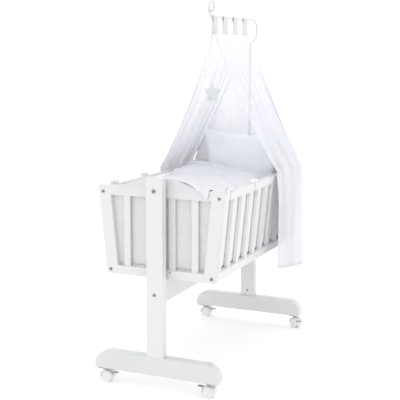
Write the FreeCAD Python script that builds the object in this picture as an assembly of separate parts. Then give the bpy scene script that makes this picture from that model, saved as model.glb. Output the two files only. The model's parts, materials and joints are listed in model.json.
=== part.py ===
import FreeCAD, Part
import math
import os

# A swinging baby cradle on a wheeled stand, with a canopy over its head end.
#
# Frame: millimetres, +Z up, floor at Z = 0, origin on the floor midway between the two uprights.
# X is the cradle's width. The foot end ("front") faces -Y and the head end faces +Y.
#
# The stand is two inverted T frames joined by a stretcher. The cradle body hangs between them on
# two pivot bolts and swings about the Y axis. The canopy pole is plugged into the head upright.

V = FreeCAD.Vector
X_AXIS = V(1, 0, 0)
Y_AXIS = V(0, 1, 0)
Z_AXIS = V(0, 0, 1)
FRONT = -1
HEAD = 1
LEFT = -1
RIGHT = 1
TINY = 1e-6
HEX_SIDES = 6

# Stand: uprights, feet and stretcher
SPAN = 1046.0  # over the outer faces of the two uprights
POST_WIDTH = 70.0
POST_THICK = 36.0
POST_TOP = 836.0
FOOT_LENGTH = 536.0
FOOT_HEIGHT = 74.0
FOOT_THICK = 45.0
FOOT_BOTTOM = 57.0  # the castors' height
FOOT_SHOULDER = 60.0  # radius of a foot's upper corners
FOOT_HEEL = 8.0  # radius of a foot's lower corners
STRETCHER_THICK = 25.0
STRETCHER_LOW = 336.0
STRETCHER_HIGH = 424.0
EDGE = 3.0  # rounding of the large timber edges

# Cradle body: two end panels and two slatted sides that lean outwards
PIVOT_Z = 785.0
BODY_BOTTOM = 435.0
PANEL_TOP = 790.0
ARCH_TOP = 832.0
ARCH_HALF = 165.0
PANEL_OUTER = 472.0  # outer face of an end panel, from the middle of the cradle
PANEL_THICK = 20.0
PANEL_FOOT_X = 236.0  # half width of an end panel at its bottom
LEAN = 0.1  # outward run of the sides for each millimetre of height
STILE_WIDTH = 52.0
TOP_RAIL_LOW = 752.0
BOTTOM_RAIL_HIGH = 470.0
END_SLAT_X = (-146.0, -48.5, 48.5, 146.0)
END_SLAT_WIDTH = 28.0
END_SLAT_THICK = 12.0
SIDE_FOOT_X = 216.2  # middle of a side's thickness at the body's bottom
SIDE_RAIL_THICK = 22.0
SIDE_RAIL_LOW = (1.0, 35.0)  # bottom rail, measured up the lean
SIDE_RAIL_TOP = (314.0, 347.0)  # top rail, measured up the lean
SIDE_SLATS = 10
SIDE_SLAT_PITCH = 92.0
SIDE_SLAT_WIDTH = 28.0
SIDE_SLAT_THICK = 14.0
SLAT_EDGE = 2.0
BOARD_THICK = 6.0
BOARD_HALF = 207.5
BOARD_GAP = 0.2
CLEAT_X = (188.0, 206.4)
CLEAT_LOW = 452.0
STILE_HEEL = 14.0
STILE_SHOULDER = 8.0
ARCH_HOLLOW = 45.0  # radius of the hollows where the arch meets the flat of the top rail

# Fasteners
BOLT_R = 3.0
BOLT_HOLE_R = 3.3
BOLT_LENGTH = 66.0
HEAD_R = 6.0
HEAD_H = 3.0
HEAD_EDGE = 1.0
HOLE_SPARE = 6.0  # how much deeper a blind bolt hole is than its bolt needs
SOCKET_SHARE = 0.6  # a bolt head's hexagon socket, as a share of the shank's radius and the head's height
NUT_R = 5.0
NUT_LENGTH = 14.0
NUT_FROM_TIP = 8.0  # how far a stretcher bolt's tip passes its nut's middle
FOOT_BOLT_LENGTH = 80.0
CORNER_BOLT_LENGTH = 60.0
CORNER_NUT_IN = 50.0  # from a panel's outer face to the middle of its barrel nuts
STRETCHER_BOLT_Z = 380.0
FOOT_BOLT_SUNK = 30.0  # depth of the counterbore under a foot
FOOT_BOLT_BORE_R = 7.5
POST_NUT_Z = 157.0
DOWEL_R = 4.0
DOWEL_LENGTH = 36.0
DOWEL_X = 22.0
PIVOT_R = 4.0
PIVOT_HEAD_R = 7.5
PIVOT_HEAD_H = 4.0
PIVOT_NUT_H = 5.0
BUSH_WALL = 3.0
BUSH_FLANGE = 7.0  # how far the bush's flange stands out, both ways
RUNNING = 0.05  # radial clearance of a running fit

# Locking pins in the front panel's bottom rail, one each side of the upright
PIN_X = 42.0
PIN_Z = 462.0
PIN_R = 5.0
PIN_PROUD = 0.5
PIN_LENGTH = 54.0
PIN_KNOB_AT = 49.0
PIN_KNOB_R = 7.0
PIN_KNOB_LENGTH = 8.0
PIN_EDGE = 1.5

# Castors
CASTOR_X = 237.0
CASTOR_Y = 500.5
CASTOR_TRAIL = 16.0
WHEEL_R = 22.0
WHEEL_GAP = 5.0  # inner face of each twin wheel, from the castor's middle plane
WHEEL_OUT = 19.5  # outer face of each twin wheel
FENDER_IN = 23.2
FENDER_OUT = 25.7
WHEEL_EDGE = 2.5
WHEEL_RING = (7.0, 16.5)  # radii of the ring sunk in each wheel's outer face
WHEEL_RING_DEPTH = 1.5
AXLE_R = 3.0
AXLE_REACH = 16.5  # how far the axle goes each side of the castor's middle plane
STEM_R = 5.0
STEM_LOW = 46.5
BOSS_R = 9.0
BOSS_LOW = 45.5
BOSS_HIGH = 53.8
FENDER_HALF = 21.0
FENDER_LOW = 18.0
WEB_HALF = 4.0
WEB_LOW = 11.0
PLATE_HALF = 22.0
PLATE_THICK = 2.5
PLATE_CORNER = 5.0
SCREW_REACH = 16.0
SCREW_R = 2.0
SCREW_LENGTH = 18.0
SCREW_HEAD_R = 3.8
SCREW_HEAD_H = 1.8
LEVER_X = 42.0  # the brake lever's pin, from the castor's stem
LEVER_Z = 36.5
LEVER_PIN_R = 1.5
LEVER_LUG_R = 4.0
LEVER_LUG_HALF = 3.0
LEVER_HALF = 8.0
LEVER_FORK = 3.3  # half of the gap between the lever's two ears
LEVER_REACH = 21.0
LEVER_THICK = 3.0
LEVER_RISE = 1.0  # from the lever's pin to the underside of its pedal
LEVER_ROOM = 0.8
LEVER_SLOT_DOWN = 6.5
LEVER_SLOT_UP = 7.5
LEVER_SLOT_BACK = 6.0
LEVER_EDGE = 3.0
CASTOR_HEADINGS = {  # which way each castor trails, in degrees from +X
    "front_left": (LEFT, FRONT, 0.0),
    "front_right": (RIGHT, FRONT, 180.0),
    "head_left": (LEFT, HEAD, 0.0),
    "head_right": (RIGHT, HEAD, -45.0),
}

# Bedding
SOFT_GAP = 0.5
PAD_THICK = 10.0
PAD_LOW = 478.0
PAD_HIGH = 775.0
MATTRESS_HALF_X = 197.0
MATTRESS_HALF_Y = 440.0
MATTRESS_THICK = 60.0
MATTRESS_EDGE = 10.0
QUILT_Y = (-436.0, 340.0)
QUILT_FOLD_Y = (-250.0, 342.0)
QUILT_FOLD_LOW = 620.0
QUILT_FOLD_HIGH = (796.0, 764.0)  # the heap's top at its left and right sides
QUILT_EDGE = 28.0
QUILT_ROOM = 13.0  # from the inside of the rails to the quilt
PILLOW_HALF = 198.0
PILLOW_HEIGHT = 408.0
PILLOW_THICK = 70.0
PILLOW_EDGE = 30.0
PILLOW_LEAN = -3.0  # degrees about X
PILLOW_FOOT = V(0, 384.0, 541.0)
TIE_Y = (-380.0, -110.0)
TIE_HALF = V(8, 22, 8)
FRONT_TIE_X = (180.0, 212.0)
FRONT_TIE_Z = (758.0, 784.0)
FRONT_TIE_THICK = 6.0

# Canopy
POLE_Y = 505.0
POLE_R = 5.0
ROD_R = 4.0
BAR_Z = 1464.0
POLE_LOW = 802.0
POLE_JOINT = 1160.0
POLE_DEPTH = 60.0  # how deep the pole's socket is bored for it
SOCKET_WALL = 2.0
SOCKET_FLANGE = 6.0
SOCKET_FLANGE_H = 3.0
ROD_LOW = 1100.0
CROOK_BEND_R = 22.0
CROOK_LOOP_R = 49.0
CROOK_LOOP_SHARE = 0.41  # of the loop's radius, from the bend to the loop's middle
CROOK_RISE = math.radians(16.0)
SCROLL_Y = 40.0
SCROLL_RADII = (32.0, 23.0, 12.5)
RIDGE_Z = 1400.0
RIDGE_Y = (55.0, 470.0)
SHOULDER = (276.0, 842.0)  # X and Z where the upper veil ends above a side rail
RIDGE_X = 2.5
HEM_FRONT = {LEFT: 85.0, RIGHT: 127.0}  # Y of the veil's front hem at the rails
HEM_LOW = {LEFT: (70.0, 376.0), RIGHT: (88.0, 376.0)}  # Y and Z of its lower front corner
HEM_BACK = 486.0
HEM_BACK_LOW = (490.0, 330.0)
VEIL_BACK_LOW = (264.0, 468.0)  # X and Y of the back sheet's lower corners
VEIL_BACK_DROP = 20.0
VEIL_THICK = 1.5
SKIRT_X = 276.0
SKIRT_TOP = 785.0
SKIRT_THICK = 6.0
TAB_Y = (48.0, 161.0, 281.0, 406.0)
TAB_WIDTH = 60.0
TAB_GAP = 0.6  # from the rod to the inside of a tab
TAB_RISE = 2.0
STAR_POINTS = 5
STAR_Y = 43.0
STAR_CENTRE_Z = 1137.0
STAR_R = 53.0
STAR_INNER_R = 27.0
STAR_THICK = 22.0
STAR_TURN = -17.0  # the star's turn about its cord, in degrees
RING_R = 7.5
RING_WIRE_R = 1.2
RING_GAP = 0.3
CORD_R = 1.0


def block(x, y, z):
    """A box between three pairs of limits."""
    return Part.makeBox(x[1] - x[0], y[1] - y[0], z[1] - z[0], V(x[0], y[0], z[0]))


def bar(start, axis, radius, length):
    """A round bar from a point along a direction."""
    return Part.makeCylinder(radius, length, start, axis)


def corner_arc(before, corner, after, radius):
    """Start, middle and end of the arc that rounds a corner."""
    back = (before - corner).normalize()
    ahead = (after - corner).normalize()
    half_angle = back.getAngle(ahead) / 2
    reach = radius / math.tan(half_angle)
    inward = (back + ahead).normalize()
    middle = corner + inward * (radius / math.sin(half_angle) - radius)
    return corner + back * reach, middle, corner + ahead * reach


def rounded_face(points, radii):
    """A flat face inside a closed outline, each corner rounded by its own radius."""
    count = len(points)
    arcs = []
    for index, (corner, radius) in enumerate(zip(points, radii)):
        if radius:
            arcs.append(corner_arc(points[index - 1], corner, points[(index + 1) % count], radius))
        else:
            arcs.append((corner, None, corner))
    edges = []
    for index, (start, middle, end) in enumerate(arcs):
        if middle:
            edges.append(Part.Arc(start, middle, end).toShape())
        edges.append(Part.LineSegment(end, arcs[(index + 1) % count][0]).toShape())
    return Part.Face(Part.Wire(edges))


def board_xz(outline, radii, y_low, y_high):
    """A board lying in an X-Z plane, cut to an outline of (x, z) corners."""
    points = [V(x, y_low, z) for x, z in outline]
    return rounded_face(points, radii).extrude(V(0, y_high - y_low, 0))


def rim_edges(solid, axis_length):
    """The edges of a board that lie in its two broad faces."""
    return [edge for edge in solid.Edges if getattr(edge.BoundBox, axis_length) < TINY]


def mirrored(shape):
    """The shape's mirror image on the other side of the X = 0 plane."""
    return shape.mirror(V(0, 0, 0), X_AXIS)


def between(low, high, end):
    """Y limits of something at one end, given its distances from the middle."""
    return (low, high) if end == HEAD else (-high, -low)


def cut(shape, tools):
    """The shape with every tool taken away."""
    for tool in tools:
        shape = shape.cut(tool)
    return shape


# ---------------------------------------------------------------------------------- stand


def foot(end):
    """A foot rail: a board on edge with large round shoulders, drilled for its bolt and dowels."""
    half = FOOT_LENGTH / 2
    top = FOOT_BOTTOM + FOOT_HEIGHT
    outline = [(-half, FOOT_BOTTOM), (half, FOOT_BOTTOM), (half, top), (-half, top)]
    radii = [FOOT_HEEL, FOOT_HEEL, FOOT_SHOULDER, FOOT_SHOULDER]
    y_low, y_high = between(SPAN / 2 - FOOT_THICK, SPAN / 2, end)
    body = board_xz(outline, radii, y_low, y_high)
    body = body.makeFillet(EDGE, rim_edges(body, "YLength"))
    middle = V(0, end * post_middle(), FOOT_BOTTOM)
    tools = [bar(middle, Z_AXIS, FOOT_BOLT_BORE_R, FOOT_BOLT_SUNK)]
    tools.append(bar(middle, Z_AXIS, BOLT_HOLE_R, FOOT_HEIGHT))
    tools += post_dowels(end)
    tools += castor_screws_at(end)
    return cut(body, tools)


def post_middle():
    """Distance of an upright's middle plane from the middle of the cradle."""
    return (SPAN - POST_THICK) / 2


def post(end):
    """An upright, drilled for the pivot, the stretcher, its foot and, at the head, the canopy pole."""
    inner = SPAN / 2 - POST_THICK
    base = FOOT_BOTTOM + FOOT_HEIGHT
    y_limits = between(inner, SPAN / 2, end)
    body = block((-POST_WIDTH / 2, POST_WIDTH / 2), y_limits, (base, POST_TOP))
    sharp = [edge for edge in body.Edges if edge.BoundBox.ZMax > base + 1]
    body = body.makeFillet(EDGE, sharp)
    across = V(0, end, 0)
    tools = [
        bar(V(0, end * inner, PIVOT_Z), across, PIVOT_R, POST_THICK),
        bar(V(0, end * inner, STRETCHER_BOLT_Z), across, BOLT_HOLE_R, POST_THICK),
        bar(V(0, end * post_middle(), base), Z_AXIS, BOLT_HOLE_R, POST_NUT_Z - base + NUT_R + HOLE_SPARE),
        bar(V(0, end * inner, POST_NUT_Z), across, NUT_R, POST_THICK / 2 + NUT_LENGTH / 2),
    ]
    tools += post_dowels(end) + stretcher_dowels(end)
    if end == HEAD:
        tools.append(bar(V(0, POLE_Y, POLE_LOW - SOCKET_WALL), Z_AXIS, POLE_R + SOCKET_WALL, POST_TOP))
    return cut(body, tools)


def post_dowels(end):
    """The two wooden dowels between an upright and its foot."""
    low = FOOT_BOTTOM + FOOT_HEIGHT - DOWEL_LENGTH / 2
    return [bar(V(x, end * post_middle(), low), Z_AXIS, DOWEL_R, DOWEL_LENGTH) for x in (-DOWEL_X, DOWEL_X)]


def stretcher_dowels(end):
    """The two wooden dowels between the stretcher and an upright, above and below its bolt."""
    inner = SPAN / 2 - POST_THICK
    start = end * (inner - DOWEL_LENGTH / 2)
    heights = (STRETCHER_LOW + DOWEL_X, STRETCHER_HIGH - DOWEL_X)
    return [bar(V(0, start, z), V(0, end, 0), DOWEL_R, DOWEL_LENGTH) for z in heights]


def stretcher():
    """The board on edge that ties the two uprights together."""
    inner = SPAN / 2 - POST_THICK
    half = STRETCHER_THICK / 2
    body = block((-half, half), (-inner, inner), (STRETCHER_LOW, STRETCHER_HIGH))
    long_edges = [edge for edge in body.Edges if edge.BoundBox.YLength > inner]
    body = body.makeFillet(EDGE, long_edges)
    tools = []
    for end in (FRONT, HEAD):
        tip = V(0, end * inner, STRETCHER_BOLT_Z)
        tools.append(bar(tip, V(0, -end, 0), BOLT_HOLE_R, BOLT_LENGTH - POST_THICK + HOLE_SPARE))
        nut_start = V(-NUT_LENGTH / 2, nut_y(end), STRETCHER_BOLT_Z)
        tools.append(bar(nut_start, X_AXIS, NUT_R, half + NUT_LENGTH / 2))
        tools += stretcher_dowels(end)
    return cut(body, tools)


def nut_y(end):
    """Where along the stretcher its barrel nut crosses the bolt."""
    return end * (SPAN / 2 - BOLT_LENGTH + NUT_FROM_TIP)


def bolt(seat, axis, length, radius=BOLT_R, head_radius=HEAD_R, head_height=HEAD_H):
    """A bolt with a flat round head that bears on its seat, the shank pointing along the axis."""
    top = seat - axis * head_height
    head = bar(top, axis, head_radius, head_height)
    rim = [edge for edge in head.Edges if abs((edge.CenterOfMass - top).dot(axis)) < TINY]
    head = head.makeFillet(HEAD_EDGE, rim)
    socket = Part.Face(Part.makePolygon(hexagon(top, axis, radius * SOCKET_SHARE)))
    head = head.cut(socket.extrude(axis * head_height * SOCKET_SHARE))
    return head.fuse(bar(seat, axis, radius, length)).removeSplitter()


def hexagon(centre, axis, radius):
    """A closed hexagon about an axis along X, Y or Z."""
    side = Z_AXIS if abs(axis.z) < 0.5 else X_AXIS
    up = axis.cross(side)
    corners = []
    for step in range(HEX_SIDES + 1):
        angle = step * 2 * math.pi / HEX_SIDES
        corners.append(centre + side * (radius * math.cos(angle)) + up * (radius * math.sin(angle)))
    return corners


def stand_bolts():
    """Two bolts into the stretcher's ends and two up through the feet."""
    bolts = []
    for end in (FRONT, HEAD):
        bolts.append(bolt(V(0, end * SPAN / 2, STRETCHER_BOLT_Z), V(0, -end, 0), BOLT_LENGTH))
        seat = V(0, end * post_middle(), FOOT_BOTTOM + FOOT_BOLT_SUNK)
        bolts.append(bolt(seat, Z_AXIS, FOOT_BOLT_LENGTH))
    return bolts


def barrel_nut(centre, axis, bolt_axis):
    """A cross dowel nut: a short cylinder with the bolt's thread hole through its side."""
    body = bar(centre - axis * (NUT_LENGTH / 2), axis, NUT_R, NUT_LENGTH)
    return body.cut(bar(centre - bolt_axis * 2 * NUT_R, bolt_axis, BOLT_R, 4 * NUT_R))


def stand_barrel_nuts():
    """The nuts of the four stand bolts."""
    nuts = []
    for end in (FRONT, HEAD):
        nuts.append(barrel_nut(V(0, nut_y(end), STRETCHER_BOLT_Z), X_AXIS, Y_AXIS))
        nuts.append(barrel_nut(V(0, end * post_middle(), POST_NUT_Z), Y_AXIS, Z_AXIS))
    return nuts


def stand_dowels():
    """All eight wooden dowels of the stand."""
    dowels = []
    for end in (FRONT, HEAD):
        dowels += post_dowels(end) + stretcher_dowels(end)
    return dowels


def pivot_bolts():
    """The two shouldered bolts that the cradle hangs on, each with its lock nut inside the upright."""
    length = SPAN / 2 - PANEL_OUTER + PANEL_THICK - 1
    pieces = []
    for end in (FRONT, HEAD):
        inward = V(0, -end, 0)
        seat = V(0, end * SPAN / 2, PIVOT_Z)
        pieces.append(bolt(seat, inward, length, PIVOT_R, PIVOT_HEAD_R, PIVOT_HEAD_H))
        nut_face = V(0, end * (SPAN / 2 - POST_THICK), PIVOT_Z)
        outline = Part.makePolygon(hexagon(nut_face, inward, PIVOT_HEAD_R))
        nut = Part.Face(outline).extrude(inward * PIVOT_NUT_H)
        pieces.append(nut.cut(bar(nut_face, inward, PIVOT_R, PIVOT_NUT_H)))
    return pieces


# -------------------------------------------------------------------------------- castors


def castor_place(shape, name):
    """Move a castor piece from its own frame, where it trails along +X, to its corner of the stand."""
    side, end, heading = CASTOR_HEADINGS[name]
    placed = shape.copy()
    placed.rotate(V(0, 0, 0), Z_AXIS, heading)
    placed.translate(V(side * CASTOR_X, end * CASTOR_Y, 0))
    return placed


def castor_screw_points(name):
    """The four screw centres of one castor plate."""
    side, end, _ = CASTOR_HEADINGS[name]
    middle = V(side * CASTOR_X, end * CASTOR_Y, 0)
    steps = (-SCREW_REACH, SCREW_REACH)
    return [middle + V(x, y, 0) for x in steps for y in steps]


def castor_screw(point):
    """A pan-head wood screw pointing up into a foot."""
    plate_low = FOOT_BOTTOM - PLATE_THICK
    head = bar(V(point.x, point.y, plate_low - SCREW_HEAD_H), Z_AXIS, SCREW_HEAD_R, SCREW_HEAD_H)
    return head.fuse(bar(V(point.x, point.y, plate_low), Z_AXIS, SCREW_R, SCREW_LENGTH)).removeSplitter()


def castor_screws_at(end):
    """All castor screws under one foot."""
    names = [name for name, place in CASTOR_HEADINGS.items() if place[1] == end]
    return [castor_screw(point) for name in names for point in castor_screw_points(name)]


def castor_plate(name):
    """A square steel plate with the swivel stem riveted through its middle."""
    side, end, _ = CASTOR_HEADINGS[name]
    low = FOOT_BOTTOM - PLATE_THICK
    plate = block((-PLATE_HALF, PLATE_HALF), (-PLATE_HALF, PLATE_HALF), (low, FOOT_BOTTOM))
    corners = [edge for edge in plate.Edges if edge.BoundBox.ZLength > 1]
    plate = plate.makeFillet(PLATE_CORNER, corners)
    plate = plate.fuse(bar(V(0, 0, STEM_LOW), Z_AXIS, STEM_R, low - STEM_LOW)).removeSplitter()
    plate.translate(V(side * CASTOR_X, end * CASTOR_Y, 0))
    return cut(plate, [castor_screw(point) for point in castor_screw_points(name)])


def castor_hood():
    """The castor's body: a web between the wheels, a mudguard over them and a boss for the stem."""
    hub = V(CASTOR_TRAIL, 0, WHEEL_R)
    wide = (-CASTOR_X, CASTOR_X)
    guard = bar(hub - Y_AXIS * FENDER_HALF, Y_AXIS, FENDER_OUT, 2 * FENDER_HALF)
    guard = guard.cut(bar(hub - Y_AXIS * FENDER_HALF, Y_AXIS, FENDER_IN, 2 * FENDER_HALF))
    guard = guard.cut(block(wide, wide, (-WHEEL_R, FENDER_LOW)))
    web = bar(hub - Y_AXIS * WEB_HALF, Y_AXIS, FENDER_OUT, 2 * WEB_HALF)
    web = web.cut(block(wide, wide, (-WHEEL_R, WEB_LOW)))
    boss = bar(V(0, 0, BOSS_LOW), Z_AXIS, BOSS_R, BOSS_HIGH - BOSS_LOW)
    hood = guard.fuse([web, boss])
    slot_half = LEVER_HALF + LEVER_ROOM
    slot_height = (LEVER_Z - LEVER_SLOT_DOWN, LEVER_Z + LEVER_SLOT_UP)
    slot = block((LEVER_X - LEVER_SLOT_BACK, LEVER_X + LEVER_REACH), (-slot_half, slot_half), slot_height)
    slot = slot.cut(block((0, LEVER_X + LEVER_LUG_R), (-WEB_HALF, WEB_HALF), (0, BOSS_HIGH)))
    lug_y = (-LEVER_LUG_HALF, LEVER_LUG_HALF)
    lug_height = (LEVER_Z - LEVER_LUG_R, LEVER_Z + LEVER_LUG_R)
    lug = bar(V(LEVER_X, -LEVER_LUG_HALF, LEVER_Z), Y_AXIS, LEVER_LUG_R, 2 * LEVER_LUG_HALF)
    lug = lug.fuse(block((LEVER_X - 2 * LEVER_LUG_R, LEVER_X), lug_y, lug_height))
    hood = hood.cut(slot).fuse(lug)
    tools = [
        bar(V(0, 0, BOSS_LOW - BOSS_R), Z_AXIS, STEM_R + RUNNING, 2 * BOSS_R),
        bar(hub - Y_AXIS * FENDER_OUT, Y_AXIS, AXLE_R + RUNNING, 2 * FENDER_OUT),
        bar(V(LEVER_X, -LEVER_HALF, LEVER_Z), Y_AXIS, LEVER_PIN_R + RUNNING, 2 * LEVER_HALF),
    ]
    return cut(hood, tools).removeSplitter()


def castor_wheels():
    """The twin wheels: round-edged treads with a shallow ring sunk in each outer face."""
    wheels = []
    for side in (LEFT, RIGHT):
        low, high = sorted((side * WHEEL_GAP, side * WHEEL_OUT))
        wheel = bar(V(CASTOR_TRAIL, low, WHEEL_R), Y_AXIS, WHEEL_R, high - low)
        rims = [edge for edge in wheel.Edges if edge.BoundBox.YLength < TINY]
        wheel = wheel.makeFillet(WHEEL_EDGE, rims)
        face = V(CASTOR_TRAIL, side * (WHEEL_OUT - WHEEL_RING_DEPTH), WHEEL_R)
        outward = V(0, side, 0)
        inner, outer = WHEEL_RING
        ring = bar(face, outward, outer, WHEEL_OUT).cut(bar(face, outward, inner, WHEEL_OUT))
        blind = bar(V(CASTOR_TRAIL, 0, WHEEL_R), outward, AXLE_R, AXLE_REACH)
        wheels.append(cut(wheel, [ring, blind]))
    return wheels


def castor_axle():
    """The steel axle, pressed into both wheels and turning in the web."""
    return bar(V(CASTOR_TRAIL, -AXLE_REACH, WHEEL_R), Y_AXIS, AXLE_R, 2 * AXLE_REACH)


def castor_brake():
    """The foot lever, forked round the hood's lug on its own pin."""
    low = LEVER_Z + LEVER_RISE
    pedal = block((LEVER_X, LEVER_X + LEVER_REACH), (-LEVER_HALF, LEVER_HALF), (low, low + LEVER_THICK))
    tip = [edge for edge in pedal.Edges if edge.BoundBox.ZLength > 1 and edge.BoundBox.XMin > LEVER_X + 1]
    pedal = pedal.makeFillet(LEVER_EDGE, tip)
    fork = block((0, LEVER_X + 2 * LEVER_LUG_HALF), (-LEVER_FORK, LEVER_FORK), (0, FOOT_BOTTOM))
    pedal = pedal.cut(fork)
    ear = LEVER_HALF - LEVER_FORK
    ears = [bar(V(LEVER_X, y, LEVER_Z), Y_AXIS, LEVER_LUG_R, ear) for y in (-LEVER_HALF, LEVER_FORK)]
    pin = bar(V(LEVER_X, -LEVER_HALF, LEVER_Z), Y_AXIS, LEVER_PIN_R, 2 * LEVER_HALF)
    return pedal.fuse(ears + [pin]).removeSplitter()


# ----------------------------------------------------------------------------- end panels


def edge_x(height):
    """Half width of an end panel at a height."""
    return PANEL_FOOT_X + LEAN * (height - BODY_BOTTOM)


def panel_y(end, thickness=PANEL_THICK):
    """Y limits of a board centred in the thickness of an end panel."""
    middle = PANEL_OUTER - PANEL_THICK / 2
    return between(middle - thickness / 2, middle + thickness / 2, end)


def side_centre(along):
    """X and Z of the middle of a side's thickness, at a distance up the lean."""
    tilt = math.atan(LEAN)
    return SIDE_FOOT_X + along * math.sin(tilt), BODY_BOTTOM + along * math.cos(tilt)


def corner_bolt_places():
    """X and Z of the four bolts in an end panel: one into the end of each side rail."""
    places = []
    for low, high in (SIDE_RAIL_LOW, SIDE_RAIL_TOP):
        x, z = side_centre((low + high) / 2)
        places += [(-x, z), (x, z)]
    return places


def corner_bolt_holes(end):
    """Clearance holes for the corner bolts, through a panel and into the side rails."""
    start = end * PANEL_OUTER
    return [bar(V(x, start, z), V(0, -end, 0), BOLT_HOLE_R, BOLT_LENGTH) for x, z in corner_bolt_places()]


def stiles(end):
    """The two leaning posts of an end panel."""
    y_low, y_high = panel_y(end)
    top_x = edge_x(PANEL_TOP)
    outline = [
        (PANEL_FOOT_X - STILE_WIDTH, BODY_BOTTOM),
        (PANEL_FOOT_X, BODY_BOTTOM),
        (top_x, PANEL_TOP),
        (top_x - STILE_WIDTH, PANEL_TOP),
    ]
    right = board_xz(outline, [0, STILE_HEEL, STILE_SHOULDER, 0], y_low, y_high)
    rim = rim_edges(right, "YLength")
    outer = [edge for edge in rim if not joint_edge(edge, outline)]
    right = right.makeFillet(SLAT_EDGE, outer)
    return [cut(right, corner_bolt_holes(end)), cut(mirrored(right), corner_bolt_holes(end))]


def joint_edge(edge, outline):
    """Whether an edge lies along a stile's inner side, where the rails butt against it."""
    middle = edge.CenterOfMass
    inner_x = outline[0][0] + LEAN * (middle.z - BODY_BOTTOM)
    return abs(middle.x - inner_x) < 1.0


def top_rail(end):
    """The end panel's top rail, rising to a shallow arch over the pivot."""
    y_low, y_high = panel_y(end)
    low_x = edge_x(TOP_RAIL_LOW) - STILE_WIDTH
    high_x = edge_x(PANEL_TOP) - STILE_WIDTH
    corners = [V(-ARCH_HALF, y_low, PANEL_TOP), V(-high_x, y_low, PANEL_TOP), V(-low_x, y_low, TOP_RAIL_LOW)]
    corners += [V(low_x, y_low, TOP_RAIL_LOW), V(high_x, y_low, PANEL_TOP), V(ARCH_HALF, y_low, PANEL_TOP)]
    edges = [Part.LineSegment(a, b).toShape() for a, b in zip(corners, corners[1:])]
    edges.append(Part.Arc(corners[-1], V(0, y_low, ARCH_TOP), corners[0]).toShape())
    rail = Part.Face(Part.Wire(edges)).extrude(V(0, y_high - y_low, 0))
    hollows = [edge for edge in rail.Edges if edge_at(edge, ARCH_HALF, PANEL_TOP)]
    rail = rail.makeFillet(ARCH_HOLLOW, hollows)
    rims = [edge for edge in rim_edges(rail, "YLength") if edge.CenterOfMass.z > PANEL_TOP - 1]
    rail = rail.makeFillet(SLAT_EDGE, rims)
    return rail.cut(bar(V(0, -SPAN / 2, PIVOT_Z), Y_AXIS, PIVOT_R + BUSH_WALL, SPAN))


def edge_at(edge, x, z):
    """Whether an edge runs along Y at a distance x either side of the middle, at height z."""
    middle = edge.CenterOfMass
    return edge.BoundBox.YLength > 1 and abs(abs(middle.x) - x) < TINY and abs(middle.z - z) < TINY


def bottom_rail(end):
    """The end panel's bottom rail; the front one carries the two locking pins."""
    y_low, y_high = panel_y(end)
    low_x = edge_x(BODY_BOTTOM) - STILE_WIDTH
    high_x = edge_x(BOTTOM_RAIL_HIGH) - STILE_WIDTH
    outline = [(-low_x, BODY_BOTTOM), (low_x, BODY_BOTTOM)]
    outline += [(high_x, BOTTOM_RAIL_HIGH), (-high_x, BOTTOM_RAIL_HIGH)]
    rail = board_xz(outline, [0, 0, 0, 0], y_low, y_high)
    if end == FRONT:
        starts = [V(x, -SPAN / 2, PIN_Z) for x in (-PIN_X, PIN_X)]
        rail = cut(rail, [bar(start, Y_AXIS, PIN_R + RUNNING, SPAN / 2) for start in starts])
    return rail


def end_panel_slats():
    """The upright slats of both end panels."""
    slats = []
    half = END_SLAT_WIDTH / 2
    for end in (FRONT, HEAD):
        for x in END_SLAT_X:
            slat = block((x - half, x + half), panel_y(end, END_SLAT_THICK), (BOTTOM_RAIL_HIGH, TOP_RAIL_LOW))
            corners = [edge for edge in slat.Edges if edge.BoundBox.ZLength > 1]
            slats.append(slat.makeFillet(SLAT_EDGE, corners))
    return slats


def lock_pin(side):
    """A sliding pin with a pull knob; pushed out, it flanks the upright and stops the swing."""
    start = V(side * PIN_X, -PANEL_OUTER - PIN_PROUD, PIN_Z)
    shank = bar(start, Y_AXIS, PIN_R, PIN_LENGTH)
    tip = [edge for edge in shank.Edges if edge.CenterOfMass.y < start.y + 1]
    shank = shank.makeFillet(PIN_EDGE, tip)
    knob = bar(start + Y_AXIS * PIN_KNOB_AT, Y_AXIS, PIN_KNOB_R, PIN_KNOB_LENGTH)
    return shank.fuse(knob).removeSplitter()


def pivot_bushes():
    """Flanged sleeves in the end panels that the pivot bolts turn in."""
    bushes = []
    for end in (FRONT, HEAD):
        face = V(0, end * PANEL_OUTER, PIVOT_Z)
        sleeve = bar(face, V(0, -end, 0), PIVOT_R + BUSH_WALL, PANEL_THICK)
        flange = bar(face, V(0, end, 0), PIVOT_R + BUSH_FLANGE, BUSH_FLANGE)
        hole = bar(V(0, -SPAN / 2, PIVOT_Z), Y_AXIS, PIVOT_R + RUNNING, SPAN)
        bushes.append(sleeve.fuse(flange).removeSplitter().cut(hole))
    return bushes


def corner_bolts():
    """Eight bolts through the end panels into the side rails."""
    pieces = []
    for end in (FRONT, HEAD):
        for x, z in corner_bolt_places():
            pieces.append(bolt(V(x, end * PANEL_OUTER, z), V(0, -end, 0), CORNER_BOLT_LENGTH))
    return pieces


def corner_nut_y(end):
    """Where along a side rail its barrel nut crosses the corner bolt."""
    return end * (PANEL_OUTER - CORNER_NUT_IN)


def corner_nuts():
    """The barrel nuts of the corner bolts, square to the leaning sides."""
    nuts = []
    for end in (FRONT, HEAD):
        for rail in (SIDE_RAIL_LOW, SIDE_RAIL_TOP):
            along = sum(rail) / 2
            nut = barrel_nut(V(0, corner_nut_y(end), along), X_AXIS, Y_AXIS)
            nuts += [on_side(nut, RIGHT), on_side(nut, LEFT)]
    return nuts


# ---------------------------------------------------------------------------------- sides


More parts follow.
